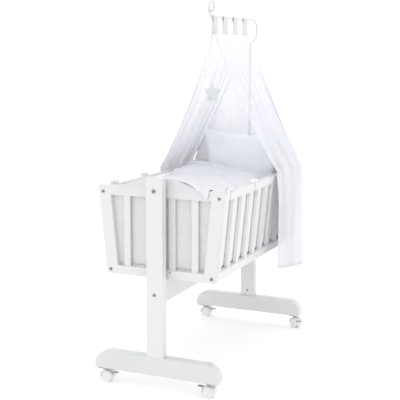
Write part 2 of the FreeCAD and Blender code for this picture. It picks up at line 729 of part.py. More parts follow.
def on_side(shape, side):
    """Move a piece from a side's own upright frame to the leaning right or left side."""
    placed = shape.copy()
    placed.rotate(V(0, 0, 0), Y_AXIS, math.degrees(math.atan(LEAN)))
    placed.translate(V(SIDE_FOOT_X, 0, BODY_BOTTOM))
    return placed if side == RIGHT else mirrored(placed)


def side_rail(limits, side):
    """A side rail between the end panels, drilled at both ends for its bolt and barrel nut."""
    half = SIDE_RAIL_THICK / 2
    reach = PANEL_OUTER - PANEL_THICK
    rail = block((-half, half), (-reach, reach), limits)
    long_edges = [edge for edge in rail.Edges if edge.BoundBox.YLength > reach]
    rail = rail.makeFillet(EDGE, long_edges)
    along = sum(limits) / 2
    for end in (FRONT, HEAD):
        hole = bar(V(0, end * PANEL_OUTER, along), V(0, -end, 0), BOLT_HOLE_R, BOLT_LENGTH)
        cross = bar(V(-half, corner_nut_y(end), along), X_AXIS, NUT_R, half + NUT_LENGTH / 2)
        rail = cut(rail, [hole, cross])
    return on_side(rail, side)


def side_slats(side):
    """The leaning slats of one side."""
    half = SIDE_SLAT_THICK / 2
    slats = []
    for index in range(SIDE_SLATS):
        y = (index - (SIDE_SLATS - 1) / 2) * SIDE_SLAT_PITCH
        y_limits = (y - SIDE_SLAT_WIDTH / 2, y + SIDE_SLAT_WIDTH / 2)
        slat = block((-half, half), y_limits, (SIDE_RAIL_LOW[1], SIDE_RAIL_TOP[0]))
        corners = [edge for edge in slat.Edges if edge.BoundBox.ZLength > 1]
        slats.append(on_side(slat.makeFillet(SLAT_EDGE, corners), side))
    return slats


def base_board():
    """The thin floor of the cradle, lying on the cleats and the bottom rails."""
    half_y = PANEL_OUTER - PANEL_THICK - SOFT_GAP
    height = (BOTTOM_RAIL_HIGH + BOARD_GAP, BOTTOM_RAIL_HIGH + BOARD_THICK)
    return block((-BOARD_HALF, BOARD_HALF), (-half_y, half_y), height)


def base_cleats():
    """The strips inside the bottom side rails that carry the base board."""
    reach = PANEL_OUTER - PANEL_THICK - SOFT_GAP
    right = block(CLEAT_X, (-reach, reach), (CLEAT_LOW, BOTTOM_RAIL_HIGH))
    return [right, mirrored(right)]


# -------------------------------------------------------------------------------- bedding


def mattress():
    """The foam mattress, held a little compressed by the padded nest round it."""
    low = BOTTOM_RAIL_HIGH + BOARD_THICK + SOFT_GAP
    x = MATTRESS_HALF_X
    y = MATTRESS_HALF_Y
    body = block((-x, x), (-y, y), (low, low + MATTRESS_THICK))
    return body.makeFillet(MATTRESS_EDGE, body.Edges)


def inner_x(height):
    """Half width inside the side rails at a height."""
    return SIDE_FOOT_X + LEAN * (height - BODY_BOTTOM) - SIDE_RAIL_THICK / 2 - 2 * SOFT_GAP


def bumper():
    """The padded nest: one thin pad against each side and each end."""
    rail_face = SIDE_RAIL_THICK / 2 + SOFT_GAP
    end_out = PANEL_OUTER - PANEL_THICK - SOFT_GAP
    end_in = end_out - PAD_THICK
    low = PAD_LOW - BODY_BOTTOM
    high = PAD_HIGH - BODY_BOTTOM
    reach = end_in - SOFT_GAP
    side_pad = block((-rail_face - PAD_THICK, -rail_face), (-reach, reach), (low, high))
    pads = [on_side(side_pad, RIGHT), on_side(side_pad, LEFT)]
    low_x = inner_x(PAD_LOW)
    high_x = inner_x(PAD_HIGH)
    outline = [(-low_x, PAD_LOW), (low_x, PAD_LOW), (high_x, PAD_HIGH), (-high_x, PAD_HIGH)]
    for end in (FRONT, HEAD):
        y_low, y_high = between(end_in, end_out, end)
        pads.append(board_xz(outline, [0, 0, 0, 0], y_low, y_high))
    return pads


def duvet():
    """The quilt: a flat layer on the mattress with the rest of it folded back in a deep heap."""
    flat_low = BOTTOM_RAIL_HIGH + BOARD_THICK + MATTRESS_THICK + 3 * SOFT_GAP
    flat_high = QUILT_FOLD_LOW - SOFT_GAP
    layers = []
    for low, (left_high, right_high), (y_low, y_high) in (
        (flat_low, (flat_high, flat_high), QUILT_Y),
        (QUILT_FOLD_LOW, QUILT_FOLD_HIGH, QUILT_FOLD_Y),
    ):
        low_x = inner_x(low) - QUILT_ROOM
        left_x = inner_x(left_high) - QUILT_ROOM
        right_x = inner_x(right_high) - QUILT_ROOM
        outline = [(-low_x, low), (low_x, low), (right_x, right_high), (-left_x, left_high)]
        layer = board_xz(outline, [0, 0, 0, 0], y_low, y_high)
        upper = [edge for edge in layer.Edges if edge.BoundBox.ZMin > right_high - 1]
        layers.append(layer.makeFillet(QUILT_EDGE, upper))
    return layers


def pillow():
    """The pillow, standing at the head end and leaning back a little."""
    y = PILLOW_THICK / 2
    body = block((-PILLOW_HALF, PILLOW_HALF), (-y, y), (0, PILLOW_HEIGHT))
    body = body.makeFillet(PILLOW_EDGE, body.Edges)
    body.rotate(V(0, 0, 0), X_AXIS, PILLOW_LEAN)
    body.translate(PILLOW_FOOT)
    return body


def bumper_ties():
    """The ribbon bows on the side rails, and the nest's corner that laps over the front panel."""
    rail_x, rail_z = side_centre(SIDE_RAIL_TOP[1])
    ties = []
    for side in (LEFT, RIGHT):
        for y in TIE_Y:
            middle = V(side * rail_x, y, rail_z + TIE_HALF.z + 2)
            low = middle - TIE_HALF
            high = middle + TIE_HALF
            ties.append(block((low.x, high.x), (low.y, high.y), (low.z, high.z)))
    front = -PANEL_OUTER - SOFT_GAP
    ties.append(block(FRONT_TIE_X, (front - FRONT_TIE_THICK, front), FRONT_TIE_Z))
    return ties


# --------------------------------------------------------------------------------- canopy


def canopy_socket():
    """The flanged sleeve let into the top of the head upright."""
    low = V(0, POLE_Y, POLE_LOW - SOCKET_WALL)
    sleeve = bar(low, Z_AXIS, POLE_R + SOCKET_WALL, POST_TOP - low.z)
    flange = bar(V(0, POLE_Y, POST_TOP), Z_AXIS, POLE_R + SOCKET_FLANGE, SOCKET_FLANGE_H)
    body = sleeve.fuse(flange).removeSplitter()
    return body.cut(bar(V(0, POLE_Y, POLE_LOW), Z_AXIS, POLE_R, POLE_DEPTH))


def canopy_pole():
    """The lower tube of the canopy holder."""
    tube = bar(V(0, POLE_Y, POLE_LOW), Z_AXIS, POLE_R, POLE_JOINT - POLE_LOW)
    return tube.cut(bar(V(0, POLE_Y, ROD_LOW), Z_AXIS, ROD_R, POLE_JOINT - ROD_LOW))


def arc_edge(centre_y, centre_z, radius, start, end):
    """An arc in the X = 0 plane, its angles in radians from +Y towards +Z."""
    angles = (start, (start + end) / 2, end)
    points = [V(0, centre_y + radius * math.cos(a), centre_z + radius * math.sin(a)) for a in angles]
    return Part.Arc(*points).toShape(), points[2]


def canopy_crook():
    """The bent rod: up from the pole, round a loop behind it, forward as a level bar, into a scroll."""
    turn = math.pi / 2 + CROOK_RISE
    loop_y = POLE_Y + CROOK_BEND_R + CROOK_LOOP_R * CROOK_LOOP_SHARE
    loop_z = BAR_Z - CROOK_LOOP_R
    run = V(0, math.cos(CROOK_RISE), math.sin(CROOK_RISE))
    loop_start = V(0, loop_y + CROOK_LOOP_R * run.z, loop_z - CROOK_LOOP_R * run.y)
    reach = (loop_start.y - POLE_Y - CROOK_BEND_R * (1 - run.z)) / run.y
    bend_z = loop_start.z - reach * run.z - CROOK_BEND_R * run.y
    bend, bend_end = arc_edge(POLE_Y + CROOK_BEND_R, bend_z, CROOK_BEND_R, math.pi, turn)
    edges = [Part.LineSegment(V(0, POLE_Y, ROD_LOW), V(0, POLE_Y, bend_z)).toShape(), bend]
    edges.append(Part.LineSegment(bend_end, loop_start).toShape())
    loop, loop_end = arc_edge(loop_y, loop_z, CROOK_LOOP_R, CROOK_RISE - math.pi / 2, math.pi / 2)
    edges.append(loop)
    edges.append(Part.LineSegment(loop_end, V(0, SCROLL_Y, BAR_Z)).toShape())
    large, middle, small = SCROLL_RADII
    top_z = BAR_Z + 2 * large
    edges.append(arc_edge(SCROLL_Y, BAR_Z + large, large, -math.pi / 2, -3 * math.pi / 2)[0])
    edges.append(arc_edge(SCROLL_Y, top_z - middle, middle, math.pi / 2, -math.pi / 2)[0])
    low_z = top_z - 2 * middle
    edges.append(arc_edge(SCROLL_Y, low_z + small, small, -math.pi / 2, -math.pi)[0])
    profile = Part.Wire([Part.Circle(V(0, POLE_Y, ROD_LOW), Z_AXIS, ROD_R).toShape()])
    return Part.Wire(edges).makePipeShell([profile], True, True)


def cloth_panel(corners, thickness=VEIL_THICK):
    """A flat piece of cloth between its corners, thickened along its normal."""
    face = Part.Face(Part.makePolygon(corners + [corners[0]]))
    return face.extrude(face.normalAt(0, 0) * thickness)


def veil():
    """The upper veil: two sloping sheets and a back sheet under the bar, hung from four tabs."""
    shoulder_x, shoulder_z = SHOULDER
    front, back = RIDGE_Y
    sheets = []
    for side in (LEFT, RIGHT):
        corners = [V(side * RIDGE_X, front, RIDGE_Z), V(side * RIDGE_X, back, RIDGE_Z)]
        corners.append(V(side * shoulder_x, HEM_BACK, shoulder_z))
        corners.append(V(side * shoulder_x, HEM_FRONT[side], shoulder_z))
        sheets.append(cloth_panel(corners))
    low_x, low_y = VEIL_BACK_LOW
    top_z = RIDGE_Z - VEIL_BACK_DROP
    corners = [V(-2 * RIDGE_X, back, top_z), V(2 * RIDGE_X, back, top_z)]
    corners += [V(low_x, low_y, shoulder_z), V(-low_x, low_y, shoulder_z)]
    sheets.append(cloth_panel(corners))
    return sheets + [veil_tab(y) for y in TAB_Y]


def veil_tab(y):
    """A fabric loop round the bar, hanging down to the veil's top edge."""
    loops = []
    for inset in (0, VEIL_THICK):
        radius = ROD_R + TAB_GAP + VEIL_THICK - inset
        low = RIDGE_Z + TAB_RISE + inset
        loop = bar(V(0, y, BAR_Z), Y_AXIS, radius, TAB_WIDTH)
        loops.append(loop.fuse(block((-radius, radius), (y, y + TAB_WIDTH), (low, BAR_Z))).removeSplitter())
    return loops[0].cut(loops[1])


def veil_skirts():
    """The lower veil: the two hanging wings that lie outside the side rails."""
    wings = []
    for side in (LEFT, RIGHT):
        start = (HEM_FRONT[side], SKIRT_TOP)
        outline = [start, (HEM_BACK, SKIRT_TOP), HEM_BACK_LOW, HEM_LOW[side], start]
        corners = [V(side * SKIRT_X, y, z) for y, z in outline]
        wings.append(Part.Face(Part.makePolygon(corners)).extrude(V(side * SKIRT_THICK, 0, 0)))
    return wings


def star():
    """The stuffed five-pointed star."""
    points = []
    for step in range(2 * STAR_POINTS + 1):
        radius = STAR_R if step % 2 == 0 else STAR_INNER_R
        angle = math.pi / 2 + step * math.pi / STAR_POINTS
        points.append(V(radius * math.cos(angle), -STAR_THICK / 2, radius * math.sin(angle)))
    body = Part.Face(Part.makePolygon(points)).extrude(V(0, STAR_THICK, 0))
    body.rotate(V(0, 0, 0), Z_AXIS, STAR_TURN)
    body.translate(V(0, STAR_Y, STAR_CENTRE_Z))
    return body


def ring_centre():
    """The ring's centre, so that it hangs with its inside just clear of the bar's top."""
    return V(0, STAR_Y, BAR_Z + ROD_R + RING_GAP - (RING_R - RING_WIRE_R))


def star_ring():
    """The small wire ring that the star hangs from, round the bar."""
    return Part.makeTorus(RING_R, RING_WIRE_R, ring_centre(), Y_AXIS)


def star_cord():
    """The star's straight hanging cord, from the ring down to the star's top point."""
    top = ring_centre().z - RING_R - RING_WIRE_R
    low = STAR_CENTRE_Z + STAR_R
    return bar(V(0, STAR_Y, low), Z_AXIS, CORD_R, top - low)


# ------------------------------------------------------------------------------- assembly


def build_nodes():
    """Every node's name and its solids."""
    nodes = {
        "foot_front": foot(FRONT),
        "foot_head": foot(HEAD),
        "post_front": post(FRONT),
        "post_head": post(HEAD),
        "stretcher": stretcher(),
        "stand_bolts": stand_bolts(),
        "stand_barrel_nuts": stand_barrel_nuts(),
        "stand_dowels": stand_dowels(),
        "pivot_bolts": pivot_bolts(),
        "castor_plates": [castor_plate(name) for name in CASTOR_HEADINGS],
        "castor_screws": castor_screws_at(FRONT) + castor_screws_at(HEAD),
        "front_panel_top_rail": top_rail(FRONT),
        "front_panel_bottom_rail": bottom_rail(FRONT),
        "front_panel_stiles": stiles(FRONT),
        "head_panel_top_rail": top_rail(HEAD),
        "head_panel_bottom_rail": bottom_rail(HEAD),
        "head_panel_stiles": stiles(HEAD),
        "end_panel_slats": end_panel_slats(),
        "base_board": base_board(),
        "base_cleats": base_cleats(),
        "corner_bolts": corner_bolts(),
        "corner_nuts": corner_nuts(),
        "pivot_bushes": pivot_bushes(),
        "lock_pin_left": lock_pin(LEFT),
        "lock_pin_right": lock_pin(RIGHT),
        "mattress": mattress(),
        "duvet": duvet(),
        "pillow": pillow(),
        "bumper": bumper(),
        "bumper_ties": bumper_ties(),
        "canopy_socket": canopy_socket(),
        "canopy_pole": canopy_pole(),
        "canopy_crook": canopy_crook(),
        "veil": veil(),
        "veil_skirts": veil_skirts(),
        "star": star(),
        "star_ring": star_ring(),
        "star_cord": star_cord(),
    }
    for word, side in (("left", LEFT), ("right", RIGHT)):
        nodes[f"side_{word}_top_rail"] = side_rail(SIDE_RAIL_TOP, side)
        nodes[f"side_{word}_bottom_rail"] = side_rail(SIDE_RAIL_LOW, side)
        nodes[f"side_{word}_slats"] = side_slats(side)
    for name in CASTOR_HEADINGS:
        nodes[f"castor_{name}_hood"] = castor_place(castor_hood(), name)
        nodes[f"castor_{name}_wheels"] = [castor_place(wheel, name) for wheel in castor_wheels()]
        nodes[f"castor_{name}_axle"] = castor_place(castor_axle(), name)
        nodes[f"castor_{name}_brake"] = castor_place(castor_brake(), name)
    return nodes


def main():
    """Write one STEP file for each node."""
    os.makedirs("parts", exist_ok=True)
    for name, solids in build_nodes().items():
        shape = Part.makeCompound(solids) if isinstance(solids, list) else solids
        shape.exportStep(f"parts/{name}.step")
        valid = all(solid.isValid() for solid in shape.Solids)
        print(f"{name}: {len(shape.Solids)} solids, {shape.Volume / 1000:.1f} cm3, valid {valid}")


main()
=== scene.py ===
import json
import math

import bmesh
import bpy
import numpy as np
from mathutils import Matrix, Vector

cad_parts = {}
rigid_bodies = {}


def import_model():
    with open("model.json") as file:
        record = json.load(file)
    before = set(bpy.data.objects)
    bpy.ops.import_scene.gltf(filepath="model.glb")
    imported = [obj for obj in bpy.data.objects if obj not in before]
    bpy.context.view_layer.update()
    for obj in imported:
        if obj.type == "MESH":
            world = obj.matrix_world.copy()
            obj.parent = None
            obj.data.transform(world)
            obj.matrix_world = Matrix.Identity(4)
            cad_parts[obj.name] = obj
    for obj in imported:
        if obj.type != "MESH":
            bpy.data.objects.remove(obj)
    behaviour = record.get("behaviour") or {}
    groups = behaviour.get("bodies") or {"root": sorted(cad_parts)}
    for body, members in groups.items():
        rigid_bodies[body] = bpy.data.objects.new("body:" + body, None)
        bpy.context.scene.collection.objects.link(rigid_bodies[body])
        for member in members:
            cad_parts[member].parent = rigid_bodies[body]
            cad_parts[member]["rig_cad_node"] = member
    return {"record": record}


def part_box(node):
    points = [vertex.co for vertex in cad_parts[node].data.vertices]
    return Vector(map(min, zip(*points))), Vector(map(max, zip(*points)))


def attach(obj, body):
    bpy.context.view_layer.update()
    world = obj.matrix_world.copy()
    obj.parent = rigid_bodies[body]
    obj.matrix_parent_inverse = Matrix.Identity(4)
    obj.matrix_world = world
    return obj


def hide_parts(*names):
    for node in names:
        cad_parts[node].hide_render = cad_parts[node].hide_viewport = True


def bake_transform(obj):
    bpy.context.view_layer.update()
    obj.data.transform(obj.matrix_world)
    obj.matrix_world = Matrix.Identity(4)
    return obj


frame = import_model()

# Looks for the baby cradle, in metres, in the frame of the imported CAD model: the floor is Z = 0, the foot
# end faces -Y and the head end, with the canopy, faces +Y.

SCENE = bpy.context.scene
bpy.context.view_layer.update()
TAU = 2 * math.pi


# ---- mesh helpers


def add_object(name, points, faces, smooth=True):
    """A new mesh object in the scene."""
    mesh = bpy.data.meshes.new(name)
    mesh.from_pydata([tuple(p) for p in points], [], faces)
    mesh.update()
    if smooth:
        mesh.shade_smooth()
    made = bpy.data.objects.new(name, mesh)
    SCENE.collection.objects.link(made)
    return made


def grid_faces(rows, columns, closed=False, offset=0):
    """Quads of a rows by columns grid of points, closed round its columns if asked."""
    faces = []
    last = columns if closed else columns - 1
    for row in range(rows - 1):
        for column in range(last):
            a = offset + row * columns + column
            b = offset + row * columns + (column + 1) % columns
            faces.append((a, b, b + columns, a + columns))
    return faces


def read(mesh, what):
    """A mesh's points ("co") or their normals ("normal") as an array."""
    flat = np.empty(len(mesh.vertices) * 3)
    mesh.vertices.foreach_get(what, flat)
    return flat.reshape(-1, 3)


def points_of(made):
    return read(made.data, "co")


def normals_of(made):
    return read(made.data, "normal")


def set_points(made, points):
    """Write an object's mesh points back."""
    made.data.vertices.foreach_set("co", np.asarray(points, float).ravel())
    made.data.update()


def ripple(points, size, seed, octaves=3):
    """Smooth noise from -1 to 1 at each point: sine waves of about this size in seeded directions."""
    rng = np.random.default_rng(seed)
    total = np.zeros(len(points))
    weight, reach, full = 1.0, size, 0.0
    for _ in range(octaves):
        for _ in range(4):
            way = rng.normal(size=3)
            way /= np.linalg.norm(way)
            total += weight * np.sin(points @ way * TAU / reach + rng.uniform(0, TAU))
        full += weight * 2.2
        weight, reach = weight * 0.5, reach * 0.47
    return np.clip(total / full, -1, 1)


def modify(made, kind, **settings):
    """Add a modifier with its settings to a mesh object, and apply it."""
    step = made.modifiers.new(kind, kind)
    for key, value in settings.items():
        setattr(step, key, value)
    view = bpy.context.evaluated_depsgraph_get()
    view.update()
    mesh = bpy.data.meshes.new_from_object(made.evaluated_get(view))
    old = made.data
    made.modifiers.clear()
    made.data = mesh
    made.data.name = made.name
    bpy.data.meshes.remove(old)
    made.data.shade_smooth()


def subdivide(made):
    """One round of Catmull-Clark."""
    modify(made, "SUBSURF", levels=1, render_levels=1)


def remesh(made, voxel):
    """One closed skin over everything in the mesh."""
    modify(made, "REMESH", mode="VOXEL", voxel_size=voxel)


def relax(made, rounds, factor=0.5):
    """Smooth the mesh a little."""
    modify(made, "SMOOTH", iterations=rounds, factor=factor)


def thicken(made, thickness, offset=0.0):
    """Give a sheet a thickness."""
    modify(made, "SOLIDIFY", thickness=thickness, offset=offset)


def clean_mesh(made, merge=0.0):
    """Merge the points closer than this, and turn every face outwards."""
    mesh = bmesh.new()
    mesh.from_mesh(made.data)
    if merge:
        bmesh.ops.remove_doubles(mesh, verts=mesh.verts, dist=merge)
    bmesh.ops.recalc_face_normals(mesh, faces=mesh.faces)
    mesh.to_mesh(made.data)
    mesh.free()
    made.data.shade_smooth()


def simulate(made, pressure, frames, bending, stiffness=12.0, cap=None):
    """Inflate a closed piece with Cloth, without gravity, and move each point at most the cap."""
    rest = points_of(made).copy()
    cloth = made.modifiers.new("cloth", "CLOTH")
    soft = cloth.settings
    soft.quality = 5
    soft.mass = 0.2
    soft.tension_stiffness = stiffness
    soft.compression_stiffness = stiffness
    soft.shear_stiffness = stiffness * 0.4
    soft.bending_stiffness = bending
    soft.use_pressure = True
    soft.uniform_pressure_force = pressure
    soft.effector_weights.gravity = 0.0
    cloth.collision_settings.use_collision = False
    cloth.point_cache.frame_start = 1
    cloth.point_cache.frame_end = frames
    for number in range(1, frames + 1):
        SCENE.frame_set(number)
    view = bpy.context.evaluated_depsgraph_get()
    moved = read(made.evaluated_get(view).to_mesh(), "co") - rest
    made.evaluated_get(view).to_mesh_clear()
    made.modifiers.remove(cloth)
    SCENE.frame_set(1)
    if cap is not None:
        far = np.linalg.norm(moved, axis=1, keepdims=True)
        moved = moved * np.minimum(1.0, cap / np.maximum(far, 1e-9))
    set_points(made, rest + moved)


# ---- materials


MATERIALS = {}            # by name, filled by new_material


def new_material(name, colour, roughness, metallic=0.0):
    """A node material with its Principled shader set."""
    made = MATERIALS[name] = bpy.data.materials.new(name)
    made.use_nodes = True
    tune(made, {"Base Color": (*colour, 1), "Roughness": roughness, "Metallic": metallic})
    return made


def shader_of(material):
    return material.node_tree.nodes["Principled BSDF"]


def node(material, kind, values=None, **settings):
    """Add a node with its settings and input values."""
    made = material.node_tree.nodes.new(kind)
    for key, value in settings.items():
        setattr(made, key, value)
    for key, value in (values or {}).items():
        made.inputs[key].default_value = value
    return made


def join(material, start, end):
    material.node_tree.links.new(start, end)


def feed(material, socket, value):
    """Join a value to an input of the Principled shader."""
    join(material, value, shader_of(material).inputs[socket])


def tune(material, values):
    """Set plain values on the Principled shader."""
    for socket, value in values.items():
        shader_of(material).inputs[socket].default_value = value


def place(material, scale=(1, 1, 1), turn=(0, 0, 0)):
    """Object coordinates, which stay on the piece as it moves, scaled and turned."""
    source = node(material, "ShaderNodeTexCoord")
    mapping = node(material, "ShaderNodeMapping", {"Scale": scale, "Rotation": turn})
    join(material, source.outputs["Object"], mapping.inputs["Vector"])
    return mapping.outputs["Vector"]


def noise(material, where, scale, detail, rough=0.5):
    made = node(material, "ShaderNodeTexNoise", {"Scale": scale, "Detail": detail, "Roughness": rough})
    join(material, where, made.inputs["Vector"])
    return made.outputs["Fac"]


def wave(material, where, scale, axis, distort):
    values = {"Scale": scale, "Distortion": distort, "Detail": 1.0, "Detail Scale": 1.0}
    made = node(material, "ShaderNodeTexWave", values, wave_type="BANDS", bands_direction=axis)
    join(material, where, made.inputs["Vector"])
    return made.outputs["Fac"]


def maths(material, kind, first, second):
    """A Math node on two sockets or numbers."""
    made = node(material, "ShaderNodeMath", operation=kind)
    for index, value in enumerate((first, second)):
        if isinstance(value, (int, float)):
            made.inputs[index].default_value = value
        else:
            join(material, value, made.inputs[index])
    return made.outputs["Value"]


def weigh(material, first, share, second, other_share):
    """The weighted sum of two values."""
    first, second = maths(material, "MULTIPLY", first, share), maths(material, "MULTIPLY", second, other_share)
    return maths(material, "ADD", first, second)


def ramp(material, value, low, high, start, end):
    """Colours from low to high as a value goes from start to end."""
    made = node(material, "ShaderNodeValToRGB")
    made.color_ramp.elements[0].position = start
    made.color_ramp.elements[1].position = end
    made.color_ramp.elements[0].color = (*low, 1)
    made.color_ramp.elements[1].color = (*high, 1)
    join(material, value, made.inputs["Fac"])
    return made.outputs["Color"]


def span(material, value, low, high, start=0.0, end=1.0):
    """A number from low to high as a value goes from start to end."""
    values = {"From Min": start, "From Max": end, "To Min": low, "To Max": high}
    made = node(material, "ShaderNodeMapRange", values)
    join(material, value, made.inputs["Value"])
    return made.outputs["Result"]


def bump(material, height, strength, distance):
    made = node(material, "ShaderNodeBump", {"Strength": strength, "Distance": distance})
    join(material, height, made.inputs["Height"])
    feed(material, "Normal", made.outputs["Normal"])


def lacquer():
    """White satin lacquer over fine-grained timber."""
    made = new_material("white_lacquer", (0.84, 0.85, 0.865), 0.34)
    tune(made, {"Coat Weight": 0.25, "Coat Roughness": 0.22})
    cloud = noise(made, place(made), 7.0, 4.0)
    grain = noise(made, place(made, (260, 260, 14)), 1.0, 4.0, 0.6)
    peel = noise(made, place(made), 420.0, 2.0)
    tone = weigh(made, cloud, 0.7, grain, 0.3)
    colour = ramp(made, tone, (0.655, 0.667, 0.680), (0.692, 0.700, 0.710), 0.3, 0.7)
    # Painted highlight: the rounded convex edges are mixed towards a lighter colour, as if they caught the
    # light.
    edge = node(made, "ShaderNodeNewGeometry").outputs["Pointiness"]
    edge_highlight = node(made, "ShaderNodeMix", data_type="RGBA")
    edge_highlight.inputs[7].default_value = (0.76, 0.765, 0.77, 1)
    join(made, span(made, edge, 0.0, 0.6, 0.52, 0.58), edge_highlight.inputs[0])
    join(made, colour, edge_highlight.inputs[6])
    feed(made, "Base Color", edge_highlight.outputs[2])
    feed(made, "Roughness", span(made, cloud, 0.28, 0.42, 0.3, 0.7))
    height = weigh(made, grain, 0.7, peel, 0.3)
    bump(made, height, 0.12, 0.0004)


def timber():
    """Plain pale wood for the hidden dowels and cleats."""
    made = new_material("natural_wood", (0.68, 0.5, 0.32), 0.6)
    where = place(made, (40, 40, 6))
    rings = wave(made, where, 1.0, "X", 6.0)
    pores = noise(made, place(made, (700, 700, 40)), 1.0, 3.0)
    tone = weigh(made, rings, 0.6, pores, 0.4)
    feed(made, "Base Color", ramp(made, tone, (0.52, 0.35, 0.2), (0.74, 0.57, 0.38), 0.2, 0.8))
    bump(made, pores, 0.3, 0.0004)


def metal(name, low, high, roughness, metallic):
    """Turned or plated metal with faint tool marks."""
    made = new_material(name, high, roughness, metallic)
    marks = noise(made, place(made, (900, 900, 120)), 1.0, 3.0, 0.7)
    smear = noise(made, place(made), 90.0, 3.0)
    feed(made, "Base Color", ramp(made, smear, low, high, 0.35, 0.65))
    feed(made, "Roughness", span(made, marks, roughness * 0.75, roughness * 1.3, 0.3, 0.7))
    bump(made, marks, 0.15, 0.0002)


def plastic(name, low, high, roughness):
    """Moulded plastic with a fine spark-eroded texture."""
    made = new_material(name, high, roughness)
    grit = noise(made, place(made), 1500.0, 2.0)
    cloud = noise(made, place(made), 30.0, 2.0)
    feed(made, "Base Color", ramp(made, cloud, low, high, 0.35, 0.65))
    feed(made, "Roughness", span(made, grit, roughness * 0.85, roughness * 1.15, 0.3, 0.7))
    bump(made, grit, 0.18, 0.0002)


def rod_paint():
    """Glossy white powder coat on the canopy rod."""
    made = new_material("white_rod", (0.84, 0.845, 0.86), 0.22)
    tune(made, {"Coat Weight": 0.5, "Coat Roughness": 0.1})
    peel = noise(made, place(made), 320.0, 2.0)
    feed(made, "Base Color", ramp(made, peel, (0.60, 0.605, 0.615), (0.65, 0.655, 0.665), 0.3, 0.7))
    bump(made, peel, 0.15, 0.0003)


def weave_height(made, pitch):
    """A plain weave: crossing threads at this pitch on all three axes."""
    turns = 1.0 / pitch
    where = place(made, (turns, turns, turns))
    warp = wave(made, where, 0.16, "X", 0.25)
    weft = wave(made, where, 0.16, "Z", 0.25)
    fill = wave(made, where, 0.16, "Y", 0.25)
    return maths(made, "MULTIPLY", maths(made, "ADD", warp, weft), maths(made, "ADD", fill, 0.4))


def cotton(name, low, high, pitch, sheen, rough=0.85, extra=None, glow=0.0):
    """Woven cotton with slubs, slightly uneven colour and a soft sheen. Its glow is painted light: emission
    that brightens the cloth where it lies in shade, standing in for light let through.
    """
    made = new_material(name, high, rough)
    tune(made, {"Sheen Weight": sheen, "Sheen Roughness": 0.5, "Specular IOR Level": 0.25})
    # Painted light: the glow is emission that lifts the cloth out of its shade.
    tune(made, {"Emission Color": (*high, 1), "Emission Strength": glow})
    threads = weave_height(made, pitch)
    cloud = noise(made, place(made), 22.0, 4.0)
    slub = noise(made, place(made, (160, 160, 900)), 1.0, 2.0)
    tone = weigh(made, cloud, 0.6, slub, 0.4)
    colour = ramp(made, tone, low, high, 0.32, 0.68)
    height = weigh(made, threads, 0.5, slub, 0.5)
    if extra is not None:
        colour, height = extra(made, colour, height)
    feed(made, "Base Color", colour)
    feed(made, "Roughness", span(made, threads, rough - 0.08, rough + 0.05))
    bump(made, height, 0.35, 0.0006)


def striped(made, colour, height):
    """The nest's fine horizontal stripes, 8 mm apart."""
    band = wave(made, place(made, (1, 1, 1)), 39.3, "Z", 0.0)
    mix = node(made, "ShaderNodeMix", data_type="RGBA")
    mix.inputs[7].default_value = (0.58, 0.59, 0.61, 1)
    join(made, span(made, band, 0.0, 0.45, 0.55, 0.8), mix.inputs[0])
    join(made, colour, mix.inputs[6])
    return mix.outputs[2], maths(made, "ADD", height, maths(made, "MULTIPLY", band, 0.6))


def quilted(made, colour, height):
    """Diamond quilting lines, 50 mm apart."""
    lines = []
    for turn in (math.radians(45), math.radians(-45)):
        band = wave(made, place(made, (1, 1, 1), (0, 0, turn)), 3.15, "X", 0.0)
        lines.append(span(made, band, 0.0, 1.0, 0.0, 0.25))
    puff = maths(made, "MULTIPLY", lines[0], lines[1])
    return colour, weigh(made, height, 0.3, puff, 3.0)


def voile(name, thin, thick, pale, deep, glow):
    """Sheer voile, denser where it hangs in folds low down and greyer there as painted shade of the folds,
    with a little light through it as a painted glow.
    """
    made = new_material(name, pale, 0.9)
    tune(made, {"Sheen Weight": 0.3, "Specular IOR Level": 0.1})
    # Painted light: a faint glow for the light that comes through the cloth.
    tune(made, {"Emission Color": (0.93, 0.93, 1.0, 1), "Emission Strength": glow})
    threads = weave_height(made, 0.0009)
    cloud = noise(made, place(made, (4, 34, 1.4)), 1.0, 2.0)
    height = node(made, "ShaderNodeSeparateXYZ")
    join(made, place(made), height.inputs["Vector"])
    tone = maths(made, "ADD", height.outputs["Z"], span(made, cloud, -0.05, 0.05, 0.3, 0.7))
    # Painted shade: the colour goes from the high colour at the top to the low colour at the bottom, and on
    # the sheer cloth it is darker where the folds hang.
    feed(made, "Base Color", ramp(made, tone, deep, pale, 0.76, 1.10))
    dense = span(made, height.outputs["Z"], thick, thin, 0.76, 1.30)
    weaving = maths(made, "ADD", dense, span(made, cloud, -0.10, 0.10, 0.35, 0.65))
    feed(made, "Alpha", maths(made, "MINIMUM", weaving, 0.97))
    bump(made, threads, 0.2, 0.0004)


# Metal and plastic: low and high colour, roughness, and for metal how metallic. Cotton: low and high colour,
# thread pitch, sheen, roughness. Voile: opacity high up and low down, high and low colour, glow.
lacquer()
timber()
metal("steel", (0.42, 0.43, 0.45), (0.62, 0.63, 0.65), 0.34, 1.0)
metal("dark_bolt", (0.20, 0.22, 0.24), (0.29, 0.31, 0.33), 0.4, 0.7)
plastic("white_plastic", (0.76, 0.77, 0.79), (0.82, 0.825, 0.84), 0.38)
plastic("grey_plastic", (0.34, 0.36, 0.38), (0.44, 0.46, 0.48), 0.5)
rod_paint()
cotton("mattress_cover", (0.80, 0.80, 0.79), (0.86, 0.86, 0.85), 0.0014, 0.3, 0.88, quilted)
cotton("quilt_cotton", (0.705, 0.71, 0.76), (0.785, 0.79, 0.83), 0.0010, 0.25)
# Painted light: the pillow, the nest's side pads and the tabs glow, which lifts them where they lie in shade.
cotton("pillow_cotton", (0.83, 0.85, 0.90), (0.875, 0.89, 0.935), 0.0010, 0.25, glow=0.10)
